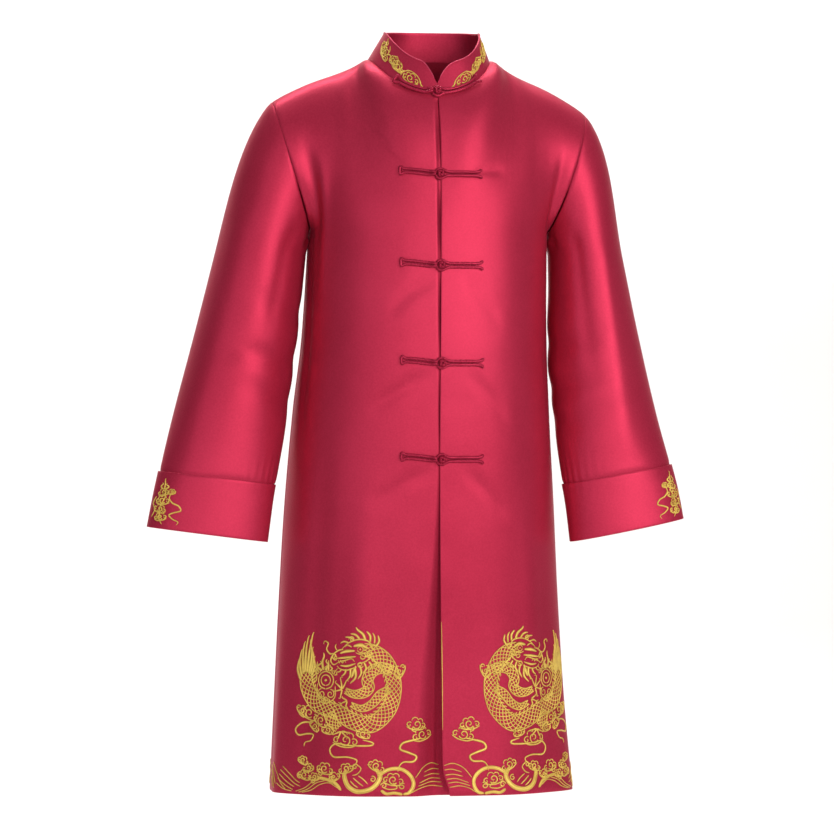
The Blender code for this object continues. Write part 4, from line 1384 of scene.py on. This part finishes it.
# %% Brow, snout, horns and mane
HEAD_FILLS = (  # places and width, in radii
    (((-0.34, 0.64), (-0.22, 0.70), (-0.08, 0.68)), 0.085),
    (((-0.12, 0.60), (0.04, 0.59), (0.17, 0.55)), 0.070),
    (((-0.14, 0.50), (0.04, 0.48), (0.22, 0.46)), 0.055),
    (((-0.14, 0.38), (0.02, 0.33), (0.16, 0.34)), 0.050),
    (((-0.14, 0.34), (-0.10, 0.22), (-0.06, 0.12)), 0.075),
)
HEAD_CURLS = (
    ((-0.25, 0.50), 0.075, 0.5, 1), ((-0.38, 0.55), 0.06, 2.0, -1), ((-0.22, 0.36), 0.06, 3.5, 1),
    ((0.27, 0.50), 0.055, 4.0, 1), ((-0.44, 0.68), 0.055, 1.0, -1), ((-0.05, 0.80), 0.055, 0.0, 1),
)
HEAD_LINES = (  # places in radii, width in millimetres: outlines, then horns, mane and beard
    (((-0.44, 0.60), (-0.36, 0.76), (-0.18, 0.80), (0.0, 0.74), (0.14, 0.62)), 2.2),
    (((0.10, 0.62), (0.20, 0.60), (0.30, 0.52), (0.34, 0.42), (0.28, 0.35), (0.18, 0.40)), 2.2),
    (((0.18, 0.40), (0.06, 0.43), (-0.06, 0.46), (-0.12, 0.40)), 1.8),
    (((-0.16, 0.32), (0.02, 0.26), (0.16, 0.28), (0.22, 0.34)), 1.9),
    (((0.20, 0.44), (0.17, 0.38), (0.15, 0.43), (0.11, 0.38), (0.08, 0.43), (0.04, 0.38)), 1.3),
    (((-0.30, 0.66), (-0.20, 0.71), (-0.10, 0.68)), 2.4),
    (((-0.32, 0.58), (-0.22, 0.54), (-0.12, 0.57)), 1.8),
    (((-0.06, 0.66), (0.02, 0.70), (0.08, 0.66)), 1.8),
    (((-0.42, 0.52), (-0.32, 0.42), (-0.18, 0.37)), 2.0),
    (((-0.30, 0.78), (-0.25, 0.89), (-0.15, 0.97), (-0.12, 1.02)), 3.6),
    (((-0.38, 0.74), (-0.38, 0.86), (-0.31, 0.95)), 3.2),
    (((-0.20, 0.80), (-0.12, 0.88), (-0.02, 0.90)), 3.0),
    (((-0.10, 0.78), (-0.02, 0.83), (0.08, 0.84)), 2.6),
    (((0.0, 0.74), (0.10, 0.76), (0.17, 0.72)), 2.2),
    (((-0.46, 0.66), (-0.54, 0.76), (-0.52, 0.88)), 3.2),
    (((-0.46, 0.72), (-0.46, 0.84), (-0.42, 0.92)), 2.6),
    (((-0.42, 0.46), (-0.50, 0.38), (-0.46, 0.30)), 3.0),
    (((-0.36, 0.42), (-0.42, 0.33), (-0.37, 0.25)), 3.0),
    (((-0.28, 0.40), (-0.32, 0.29), (-0.26, 0.20)), 3.0),
    (((-0.20, 0.36), (-0.24, 0.22), (-0.18, 0.10)), 3.0),
    (((-0.12, 0.32), (-0.14, 0.14), (-0.04, 0.02)), 3.2),
    (((-0.04, 0.30), (-0.04, 0.16), (0.03, 0.06)), 3.0),
    (((0.04, 0.28), (0.06, 0.20), (0.13, 0.14)), 2.6),
    (((0.12, 0.28), (0.16, 0.23), (0.22, 0.22)), 2.0),
    (((0.28, 0.55), (0.36, 0.54), (0.43, 0.62), (0.40, 0.72), (0.47, 0.76), (0.50, 0.70)), 2.1),
    (((0.22, 0.60), (0.26, 0.66), (0.24, 0.72)), 1.6),
)
HEAD_LINE_WEIGHT = 1.25
EYE, EYE_RING, PUPIL = (-0.21, 0.625), 0.052, ((-0.23, 0.625), (-0.19, 0.625))
NOSTRIL = (0.26, 0.46)


def head():
    found = [pad(line, width, ROUNDEL_RADIUS, 0.0011) for line, width in HEAD_FILLS]
    found += curls(HEAD_CURLS, 0.0022, ROUNDEL_RADIUS, start=0.05, height=0.0014)
    found += drawn(HEAD_LINES, ROUNDEL_RADIUS, 0.15, 0.45, height=0.0013, heavier=HEAD_LINE_WEIGHT)
    eye_ring = arc(EYE, EYE_RING, 0, 360)
    found.append(stroke(eye_ring, 0.0016, ROUNDEL_RADIUS, 0.01, 0.01, 0.8, 0.0014))
    found.append(pad(PUPIL, 0.05, ROUNDEL_RADIUS, 0.0013))
    found.append(stroke(spiral(NOSTRIL, 0.05, 1.2, 1.0), 0.0016, ROUNDEL_RADIUS, height=0.0013))
    return found


roundel += head()
print("with its head", len(roundel))

# %% [markdown]
# ## Claws
# Each foot spreads its claws like a bird's. A claw is one tapered stroke from the foot's middle,
# hooked at its tip.

# %% Feet with hooked claws
CLAWS = (  # a foot's middle and the tips of its claws
    ((0.10, -0.08), ((0.02, 0.08), (0.14, 0.12), (0.24, 0.04), (0.25, -0.12), (0.14, -0.24))),
    ((0.0, -0.28), ((0.10, -0.22), (0.12, -0.33), (0.03, -0.40))),
    ((0.10, -0.82), ((-0.06, -0.84), (-0.02, -0.93), (0.16, -0.95), (0.26, -0.88))),
)
for root, tips in CLAWS:
    for x, y in tips:
        dx, dy = x - root[0], y - root[1]
        joint, hook = (root[0] + 0.6 * dx, root[1] + 0.6 * dy), (x - 0.25 * dy, y + 0.25 * dx)
        line = [root, joint, (x, y), hook]
        roundel.append(stroke(line, 0.0030, ROUNDEL_RADIUS, 0.1, 0.7, 0.15, 0.0011))
print("with its claws", len(roundel))

# %% [markdown]
# ## The flaming pearl
# The dragon plays with a pearl: two rings round a filled middle, flames on top of it and a
# scrolled seat below.

# %% Pearl, flames and seat
PEARL_AT, PEARL_RINGS = (0.43, 0.07), ((0.155, 2.2), (0.095, 1.9))
PEARL_FLAMES = (  # place, size, turn and lean
    ((0.38, 0.23), 0.20, 0.15, 0.1), ((0.48, 0.24), 0.32, -0.1, -0.1),
    ((0.57, 0.19), 0.18, -0.5, 0.2), ((0.28, 0.17), 0.15, 0.6, 0.0),
)
SEAT_CURLS = (
    ((0.33, -0.17), 0.085, 1.4, 1), ((0.51, -0.17), 0.095, 1.6, -1), ((0.42, -0.27), 0.06, 4.7, 1),
)
SEAT_LINE = (
    (0.24, -0.02), (0.24, -0.22), (0.38, -0.33), (0.54, -0.30), (0.62, -0.14), (0.60, 0.02),
)


def pearl():
    r, found = ROUNDEL_RADIUS, []
    for radius, width in PEARL_RINGS:
        ring = arc(PEARL_AT, radius, -90, 270)
        found.append(stroke(ring, width * MM, r, 0.01, 0.01, 0.9, LINE_HEIGHT))
    found.append(pad([(0.40, 0.07), (0.46, 0.07)], 0.07, r, 0.0011))
    for at, size, turn, lean in PEARL_FLAMES:
        found += moved(flame(size * r, lean), (at[0] * r, at[1] * r), turn)
    found += curls(SEAT_CURLS, 0.0020, r, turns=1.4)
    found.append(stroke(SEAT_LINE, 0.0021, r))
    return found


roundel += pearl()
print("with the pearl", len(roundel))

# %% [markdown]
# ## Tail and clouds round the ring
# The tail ends in long feathers, which are broad tapered strokes side by side. Cloud heads
# close the gaps round the ring.

# %% Tail feathers and outer clouds
FEATHERS = (  # base, bend and tip
    ((0.74, 0.14), (0.68, 0.32), (0.70, 0.44)), ((0.77, 0.16), (0.71, 0.42), (0.74, 0.60)),
    ((0.80, 0.16), (0.75, 0.50), (0.78, 0.74)), ((0.84, 0.18), (0.80, 0.56), (0.74, 0.86)),
    ((0.88, 0.18), (0.87, 0.54), (0.83, 0.80)), ((0.91, 0.16), (0.93, 0.48), (0.90, 0.70)),
    ((0.94, 0.12), (0.99, 0.36), (0.96, 0.56)), ((0.96, 0.06), (1.03, 0.24), (1.01, 0.40)),
)
RING_CLOUDS = (
    ((0.76, -0.52), 0.30, 0.4, 1), ((0.92, -0.48), 0.20, 0.9, -1), ((-0.92, 0.24), 0.22, -1.1, 1),
    ((0.02, -0.97), 0.36, 0.1, -1), ((0.50, -0.64), 0.26, 0.5, 1), ((0.64, -0.74), 0.20, 0.7, -1),
    ((-0.30, -0.86), 0.20, 0.3, 1), ((0.36, -0.80), 0.20, 0.2, -1),
)
for base, bend, tip in FEATHERS:
    line = [base, bend, tip, (tip[0] - 0.03, tip[1] + 0.05)]
    roundel.append(stroke(line, 0.0054, ROUNDEL_RADIUS, 0.1, 0.7, 0.15, 0.0013))
for y in np.linspace(0.0, 0.26, 5):
    line = [(0.72, y), (0.64, y + 0.06), (0.62, y + 0.14)]
    roundel.append(stroke(line, 0.0028, ROUNDEL_RADIUS, 0.1, 0.7, 0.2))
roundel = moved(roundel + clouds(RING_CLOUDS, ROUNDEL_RADIUS), ROUNDEL_AT)
print("the whole roundel has", len(roundel), "strokes")

# %% [markdown]
# ## Motifs on the collar and the cuffs
# A scroll with flowers climbs each side of the collar. On each cuff a column of cloud and
# flame stands on the outer side, with one streamer beside it. Places are in millimetres: on
# the collar back from its end and up from the neck seam, on a cuff forward from its outer
# line and up from its edge.

# %% Collar and cuff motifs
SCROLL_LINES = (
    (((24, 5), (26, 13), (33, 20), (43, 22), (52, 17), (56, 9)), 2.0),
    (((20, 4), (25, 9), (27, 15)), 2.4),
    (((50, 19), (60, 14), (70, 13), (79, 18)), 2.6),
    (((78, 17), (84, 24), (92, 22), (100, 15), (112, 18)), 2.6),
    (((60, 15), (57, 22), (60, 27)), 2.2),
    (((66, 14), (66, 24), (70, 30), (75, 27)), 2.4),
    (((110, 18), (116, 26), (113, 34)), 2.4),
    (((92, 21), (90, 29), (94, 35)), 2.2),
)
SCROLL_CLOUDS = (
    ((40, 12), 19, 0.1, 1), ((64, 19), 17, 0.3, -1), ((75, 22), 15, -0.2, 1),
    ((98, 21), 19, 0.4, 1), ((108, 26), 17, 0.7, -1),
)
CUFF_CLOUDS = (
    ((2, 50), 13, 0.3, 1), ((3, 39), 16, 0.1, -1), ((1, 27), 15, -0.2, 1), ((4, 16), 14, 0.2, -1),
)
CUFF_LINES = (
    (((3, 58), (6, 44), (1, 30), (3, 14), (8, 6)), 2.6),
    (((14, 50), (12, 43), (18, 37), (27, 34), (31, 28),
      (22, 24), (16, 20), (22, 15), (30, 12), (28, 7)), 2.6),
    (((-8, 44), (-12, 34), (-7, 25), (-11, 14)), 2.4),
)
CUFF_MOTIF_AT = 0.021

scroll = drawn(SCROLL_LINES, MM, 0.15, 0.4) + clouds(SCROLL_CLOUDS, MM)
scroll += moved(flame(0.012), (0.104, 0.030), -0.3)
column = clouds(CUFF_CLOUDS, MM) + moved(flame(0.016), (0.002, 0.054), 0.1)
column += drawn(CUFF_LINES, MM, 0.15, 0.35) + moved(cloud(0.009), (0.014, 0.052), 0.2)
column = moved(column, (CUFF_MOTIF_AT, 0))
print(len(scroll), "strokes on each side of the collar,", len(column), "on a cuff")

# %% [markdown]
# ## Raised thread
# Satin stitch over a little padding makes a line stand up with a rounded back. Every stroke
# becomes one ribbon with that cross-section. A motif has hundreds of them, and an operator
# call for each would be slow, so all strokes of a piece are cut from one long grid: its faces
# between two strokes are deleted again, and a stroke's ends close in a point.

# %% Stitch strokes onto a piece
SECTION = ((-1, -0.15), (-0.6, 0.66), (0, 1), (0.6, 0.66), (1, -0.15), (0, -0.3), (-1, -0.15))


def thread_table(strokes):
    """Flat place, height, run and side for each point of all the ribbons, and their last rows."""
    rows, cuts, total = [], [], 0
    for line in strokes:
        run = np.gradient(line[:, :2], axis=0)
        side = np.column_stack([-run[:, 1], run[:, 0]])
        side /= np.maximum(np.linalg.norm(side, axis=1, keepdims=True), 1e-9)
        along = np.cumsum(np.linalg.norm(run, axis=1))
        ribbon = [
            np.column_stack([
                line[:, :2] + side * (line[:, 2] / 2 * across)[:, None],
                line[:, 3] * up, along, np.full(len(line), across),
            ])
            for across, up in SECTION
        ]
        rows.append(np.stack(ribbon, axis=1))
        total += len(line)
        cuts.append(total - 1)
    return np.concatenate(rows), cuts


def stitched(name, strokes, place, lift=0.0):
    """One gold piece from strokes; place turns (s, h) into points and normals."""
    table, cuts = thread_table([line for line in strokes if len(line) > 2])
    total = len(table)
    spot, out = place(table[..., 0], table[..., 1])
    spot = spot + (table[..., 2] + lift)[..., None] * out
    for k in (0, *(cut + 1 for cut in cuts[:-1]), *cuts):
        spot[k] = spot[k].mean(axis=0)
    shape = bmesh.new()
    bmesh.ops.create_grid(shape, x_segments=total - 1, y_segments=len(SECTION) - 1, size=0.5)
    cell = numbered(shape, total, len(SECTION))
    for vert in shape.verts:
        vert.co = spot[cell_of(vert, cell)]
    chart = shape.loops.layers.uv.new("cloth")
    ends, links = set(cuts), []
    for face in shape.faces:
        if min(cell_of(vert, cell)[0] for vert in face.verts) in ends:
            links.append(face)
            continue
        for loop in face.loops:
            loop[chart].uv = table[cell_of(loop.vert, cell)][3:]
    bmesh.ops.delete(shape, geom=links, context="FACES")
    bmesh.ops.remove_doubles(shape, verts=shape.verts, dist=WELD)
    bmesh.ops.recalc_face_normals(shape, faces=shape.faces)
    piece = finished(name, shape, GOLD)
    print(name, len(strokes), "strokes", len(piece.data.polygons), "faces")
    return piece


# %% [markdown]
# ## Working the motifs
# The drawn distances are walked off along the cloth itself, so a motif keeps its size where
# the cloth turns away to the side. The same roundel is mirrored on the two fronts.

# %% Walk along the cloth
def skin(surface, relief, facing):
    """Points on a surface's relief, and its normals."""

    def at(u, v):
        base = surface(u, v)
        du = surface(u + TINY, v) - surface(u - TINY, v)
        dv = surface(u, v + TINY) - surface(u, v - TINY)
        out = facing * unit(np.cross(du, dv))
        return base + relief(u, v)[..., None] * out, out

    return at


def walked(surface, fixed, samples, along_u=True):
    """Distances along a surface at each sample of one coordinate."""
    other = np.full_like(samples, fixed)
    line = surface(samples, other) if along_u else surface(other, samples)
    return running(line), line


BODY_SPAN = ARMPIT_Z - HEM_Z
FRONT_WALK, BACK_WALK, COLLAR_WALK, CUFF_WALK = 0.12, 0.05, 0.4, 0.97  # v of each measured line
CUFF_DROP_TURN = 0.45


def on_front(side):
    """From a place on the drawing, s outwards and h up from the hem, to the front's cloth."""
    surface = lambda u, v: front_point(side, u, v)
    samples = np.linspace(0, 1, 400)
    run, line = walked(surface, FRONT_WALK, samples)
    if side < 0:
        run = run - np.interp(0, -line[:, 0], run)
    cloth_at = skin(surface, lambda u, v: panel_relief(side, -1, u, v), side)
    return lambda s, h: cloth_at(np.interp(s, run, samples), h / BODY_SPAN)


def on_back(side):
    """The same on the back, with s from its middle to the side seam."""
    surface = lambda u, v: panel_point(side, 1, u, v)
    samples = np.linspace(0, 1, 400)
    run, _ = walked(surface, BACK_WALK, samples)
    cloth_at = skin(surface, lambda u, v: panel_relief(side, 1, u, v), -side)
    return lambda s, h: cloth_at(np.interp(s, run, samples), h / BODY_SPAN)


def on_collar(side):
    """The same on the collar, with s from its front end and h from the seam."""
    samples = np.linspace(TINY, 0.5, 300)
    run, _ = walked(collar_point, COLLAR_WALK, samples)
    cloth_at = skin(collar_point, no_relief, -1)

    def at(s, h):
        u = np.clip(np.interp(s, run, samples), 2 * TINY, 0.5)
        return cloth_at(u if side < 0 else 1 - u, np.clip(h / COLLAR_HEIGHT, TINY, 1 - TINY))

    return at


def on_cuff(side):
    """The same on the cuff, with s from its outer line round the front and h from below."""
    surface = lambda u, v: sleeve_point(side, u, v)
    samples, rows = np.linspace(0.5, 0.1, 200), np.linspace(1, cuff_top(side), 50)
    run, _ = walked(surface, CUFF_WALK, samples)
    drop, _ = walked(surface, CUFF_DROP_TURN, rows, along_u=False)
    cloth_at = skin(surface, no_relief, -side)
    slope = (samples[1] - samples[0]) / (run[1] - run[0])

    def at(s, h):
        turn = np.where(s < 0, 0.5 + slope * s, np.interp(s, run, samples))
        return cloth_at(turn, np.interp(h, drop, rows))

    return at


hem_run, _ = walked(lambda u, v: front_point(1, u, v), 0, np.linspace(0, 1, 99))
print("the left front is", round(hem_run[-1], 3), "m wide at the hem")


# %% [markdown]
# ## All the embroidery
# The right half's work is done first, then the left half's, each panel in one go. A thin gold
# line also runs up the left front's free edge, where the photo shows the facing's border.

# %% Stitch everything
facing_edge = stroke([(0.4, 90), (0.8, 160), (0.5, 240)], 0.0013, MM, 0.3, 0.3, 0.3, 0.0003)
for side, name in ((-1, "right"), (1, "left")):
    facing = [facing_edge] if side > 0 else []
    stitched(f"embroidery_front_{name}", hem + ribbons + roundel + facing, on_front(side))
    stitched(f"embroidery_back_{name}", hem, on_back(side))
    stitched(f"embroidery_collar_{name}", scroll, on_collar(side))
    stitched(f"embroidery_cuff_{name}", column, on_cuff(side), lift=CUFF_STEP + CUFF_WALL)

# %% [markdown]
# ## Frog fastenings
# A frog is made from a rouleau, a narrow bias tube of satin. On the left front it is folded
# into a loop, on the right one it ends in a ball that is knotted from the same cord. The ball
# here is a Turk's head: the cord goes round three times while it swings up and down four
# times, and it passes over and under itself at each crossing.

# %% Sizes of the frogs
CORD_RADIUS, CORD_SPACING, CORD_STEP = 0.0021, 0.0049, 0.0011
STRAP_LENGTH = {-1: 0.054, 1: 0.058}
STRAP_LIFT, STRAP_LIFT_REACH = 0.004, 0.05  # the right strap rises outwards
EDGE_REACH = {-1: 0.0155, 1: 0.012}  # nearer the opening than this, a strap leaves the cloth
KNOT_HEIGHT, KNOT_CORD, KNOT_BALL, KNOT_WEAVE = 0.0072, 0.00165, 0.0037, 0.0007
KNOT_SWING, KNOT_TURNS, KNOT_SWINGS, KNOT_POINTS = math.radians(52), 3, 4, 151
KNOT_SINK = 0.0004
LOOP_RADIUS, LOOP_LIFT = 0.0068, 0.0008
NECK_FROG_LIFT, NECK_FROG_TILT, NECK_FROG_RISE = 0.0007, (0.36, 0.9), 4.6
print("each strap is", STRAP_LENGTH, "m long, its cord", 2000 * CORD_RADIUS, "mm thick")

# %% [markdown]
# ## A cord along any line
# A bevelled curve object would draw a cord in one step, but its texture couldn't follow the
# cord. A grid rolled round the line keeps a UV map in metres. The ring is carried on from point
# to point, so the cord doesn't twist, and a closed cord spreads what is left over its length.

# %% Cords
def carried_rings(run, closed):
    """Two directions across the cord at each point, turned as little as can be on the way."""
    side = [unit(np.cross(run[0], (0.3, 0.5, 0.8)))]
    for along in run[1:]:
        side.append(unit(side[-1] - along * (side[-1] @ along)))
    side = np.array(side)
    if closed:
        up = np.cross(run[0], side[0])
        slip = math.atan2(side[-1] @ up, side[-1] @ side[0])
        turn = -slip * np.linspace(0, 1, len(side))[:, None]
        side = side * np.cos(turn) + np.cross(run, side) * np.sin(turn)
    return side, np.cross(run, side)


CORD_END_SHARE = 0.8  # a cord's ends are drawn in to this share of its thickness


def tube(name, line, radius, ring=10, closed=False, material=None):
    """A satin cord along a line, with its ends drawn in, or closed into a ring."""
    line = np.array(line)
    if closed:
        run = np.roll(line[:-1], -1, axis=0) - np.roll(line[:-1], 1, axis=0)
        run = np.concatenate([run, run[:1]])
    else:
        run = np.gradient(line, axis=0)
    side, up = carried_rings(unit(run), closed)
    angle = np.linspace(0, 2 * math.pi, ring + 1)
    spot = line[:, None] + radius * (
        np.cos(angle)[None, :, None] * side[:, None] + np.sin(angle)[None, :, None] * up[:, None]
    )
    if closed:
        spot[-1] = spot[0]
    else:
        spot[0], spot[-1] = line[0], line[-1]
        spot[1] = line[1] + (spot[1] - line[1]) * CORD_END_SHARE
        spot[-2] = line[-2] + (spot[-2] - line[-2]) * CORD_END_SHARE
    spot[:, -1] = spot[:, 0]
    length = running(line)
    shape = bmesh.new()
    bmesh.ops.create_grid(shape, x_segments=len(line) - 1, y_segments=ring, size=0.5)
    cell = numbered(shape, len(line), ring + 1)
    for vert in shape.verts:
        vert.co = spot[cell_of(vert, cell)]
    chart = shape.loops.layers.uv.new("cloth")
    for face in shape.faces:
        for loop in face.loops:
            i, j = cell_of(loop.vert, cell)
            loop[chart].uv = (2 * math.pi * radius * j / ring, length[i])
    bmesh.ops.remove_doubles(shape, verts=shape.verts, dist=WELD)
    bmesh.ops.recalc_face_normals(shape, faces=shape.faces)
    return finished(name, shape, material or CORD_WITH_PAINTED_SHADE)


# %% [markdown]
# ## Where a frog lies
# A frog lies on the cloth, across the opening. Its place is given by a height, so the points
# under it have to be found: u and v are halved in turn until x and z fit. The neck's frog
# follows the seam between collar and fronts instead.

# %% Where a frog lies
def find_on_front(side, x, z):
    """(u, v) of the front's points at these X and heights, by halving each in turn."""
    u, v = np.full_like(x, 0.1), np.full_like(x, 1.0)
    for _ in range(3):
        low, high = np.zeros_like(x), np.full_like(x, 2.0)
        for _ in range(15):
            v = (low + high) / 2
            short = front_point(side, u, v)[..., 2] < z
            low, high = np.where(short, v, low), np.where(short, high, v)
        low, high = np.zeros_like(x), np.full_like(x, 0.6)
        for _ in range(14):
            u = (low + high) / 2
            short = side * front_point(side, u, v)[..., 0] < side * x
            low, high = np.where(short, u, low), np.where(short, high, u)
    return u, v


def panel_track(level):
    """Places across the opening at one height, as points on the cloth and normals."""

    def place(away, up):
        found, outs = np.zeros((len(away), 3)), np.zeros((len(away), 3))
        for side in (-1, 1):
            here = (away > 0) == (side > 0)
            if not here.any():
                continue
            a, b = away[here], up[here] + STRAP_LIFT * smooth(-away[here] / STRAP_LIFT_REACH)
            reach = np.maximum(np.abs(a), EDGE_REACH[side])
            u, v = find_on_front(side, side * reach, level + b)
            at = skin(lambda p, q: front_point(side, np.maximum(p, 0), q),
                      lambda p, q: panel_relief(side, -1, p, q), side)
            point, out = at(u, v)
            found[here] = point + points(a - side * reach, 0, 0)
            outs[here] = out
        return found, outs

    return place


def neck_track(away, up):
    """The same for the neck's frog, along the seam under the collar."""
    side = np.where(away > 0, 1, -1)
    share = 2 / math.pi * np.arcsin((np.minimum(np.abs(away), 0.08) / NECK_HALF) ** (1 / ROUNDNESS))
    seam, ahead = (np.zeros((len(away), 3)) for _ in range(2))
    for hand in (-1, 1):
        here = side == hand
        seam[here] = neckline(hand, -1, share[here])
        before, after = np.maximum(share[here] - 0.01, 0), share[here] + 0.01
        ahead[here] = neckline(hand, -1, after) - neckline(hand, -1, before)
    angle = share * math.pi / 2
    out = points(side * np.sin(angle), -np.cos(angle), NECK_FROG_TILT[0] + NECK_FROG_TILT[1] * share)
    ahead = unit(ahead)
    out = unit(out - ahead * np.sum(out * ahead, axis=-1, keepdims=True))
    rise = unit(np.cross(out, ahead) * side[:, None])
    lift = NECK_FROG_LIFT * (1 + NECK_FROG_RISE * (away / STRAP_LENGTH[1]) ** 2)
    return seam + lift[:, None] * out + up[:, None] * rise, out


print("the second frog lies", round(-FROG_LEVELS[1] * 1000), "mm below the neck's base")

# %% [markdown]
# ## Straps and knots
# Each strap is one cord folded double. Its plan is a list of places: out from the opening, up
# from the frog's line, and height over the cloth. Drawing only the upper half and mirroring it
# keeps both cords parallel.

# %% Plans of the straps and the knot
def strap(track, plan):
    """The middle line of a cord that lies on the cloth along a plan."""
    away, up, height = through(plan, CORD_STEP).T
    point, out = track(away, up)
    return point + (CORD_RADIUS + SEAM_GAP + height)[:, None] * out


def knot_strap_plan():
    """Both cords rise to the ball, and a short bar joins them at the end."""
    end, half = STRAP_LENGTH[-1], CORD_SPACING / 2
    over = KNOT_HEIGHT - CORD_RADIUS - KNOT_SINK
    rise = [(-0.0060, 0.4 * half, over), (-0.0105, 0.8 * half, 0.85 * over), (-0.0150, half, 0.2 * over)]
    widths = ((0.020, 1), (0.030, 1.02), (0.040, 1.0), (end - 0.005, 1.05))
    run = [(-x, half * grow, 0) for x, grow in widths]
    corner = [
        (-end + 0.0022, 1.5 * half, 0),
        (-end, 2.1 * half, 0.0003),
        (-end - 0.0012, 1.2 * half, 0.0004),
    ]
    upper = rise + run + corner
    return upper + [(away, -up, height) for away, up, height in reversed(upper)]


def loop_strap_plan():
    """One cord round the ball, with both tails turned out at the end."""
    end, half = STRAP_LENGTH[1], CORD_SPACING / 2
    turn = [math.radians(degrees) for degrees in (180, 145, 110, 75, 45)]
    ring = [(LOOP_RADIUS * math.cos(a), LOOP_RADIUS * math.sin(a), LOOP_LIFT) for a in turn]
    run = [(0.0090, 1.25 * half, LOOP_LIFT)] + [(x, half, 0) for x in (0.014, 0.026, 0.038, end - 0.009)]
    tail = [(end - 0.003, 1.5 * half, 0), (end, 2.8 * half, 0)]
    upper = ring[1:] + run + tail
    return [(x, y, h) for x, y, h in reversed(upper)] + ring[:1] + [(x, -y, h) for x, y, h in upper]


def turks_head(centre, out):
    """The knot's cord: round the ball and up and down, over and under itself."""
    t = np.linspace(0, 2 * math.pi, KNOT_POINTS)
    reach = KNOT_BALL + KNOT_WEAVE * np.sin(2 * KNOT_SWINGS * t)
    swing, turn = KNOT_SWING * np.cos(KNOT_SWINGS * t), KNOT_TURNS * t
    level = reach * np.cos(swing)
    ball = points(level * np.cos(turn), level * np.sin(turn), reach * np.sin(swing))
    across = unit(np.cross((0, 0, 1), out))
    upward = np.cross(out, across)
    return centre + ball[:, :1] * across + ball[:, 1:2] * upward + ball[:, 2:] * out


print("a knot strap's plan has", len(knot_strap_plan()), "places, a loop's", len(loop_strap_plan()))

# %% [markdown]
# ## Five frogs
# All frogs share their plans, and each piece stands for the solid of the same part.

# %% Sew on the frogs
for number, level in enumerate(FROG_LEVELS, start=1):
    track = neck_track if level is None else panel_track(level)
    middle, facing = track(np.array([-1e-6, 1e-6]), np.zeros(2))
    out = unit(facing.sum(axis=0))
    centre = middle[np.argmax(middle @ out)] + (SEAM_GAP + KNOT_HEIGHT) * out
    pieces = {
        "knot_strap": tube(f"cord_{number}_knot_strap", strap(track, knot_strap_plan()), CORD_RADIUS),
        "loop_strap": tube(f"cord_{number}_loop_strap", strap(track, loop_strap_plan()), CORD_RADIUS),
        "knot": tube(f"cord_{number}_knot", turks_head(centre, out), KNOT_CORD, closed=True),
    }
    for part, piece in pieces.items():
        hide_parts(f"frog_{number}_{part}")
print(len(FROG_LEVELS), "frogs")

# %% [markdown]
# ## Piping
# The collar's two layers are turned out over a thin cord at its upper edge. It is the same tube
# as the frogs' cords, only thinner, and its satin is paler: a painted highlight along the edge.

# %% Piping round the collar's upper edge
PIPING_RADIUS, PIPING_END, PIPING_POINTS = 0.0008, 0.004, 241
edge_u = np.linspace(PIPING_END, 1 - PIPING_END, PIPING_POINTS)
edge_line = collar_point(edge_u, np.ones_like(edge_u)) + points(0, 0, 0.3 * PIPING_RADIUS)
tube("piping_collar", edge_line, PIPING_RADIUS, ring=8, material=PIPING_HIGHLIGHT_SATIN)
print("piping", round(line_length(edge_line), 3), "m long")

# %% [markdown]
# ## What each piece was cut from
# The areas printed for the sheets are less than the rectangles that their cuts fit in, because
# the panels narrow towards the shoulder and are scooped out at the neck and the armholes.

# %% [markdown]
# ## Check the size
# The cloth may stand a few millimetres proud of the plain solids.
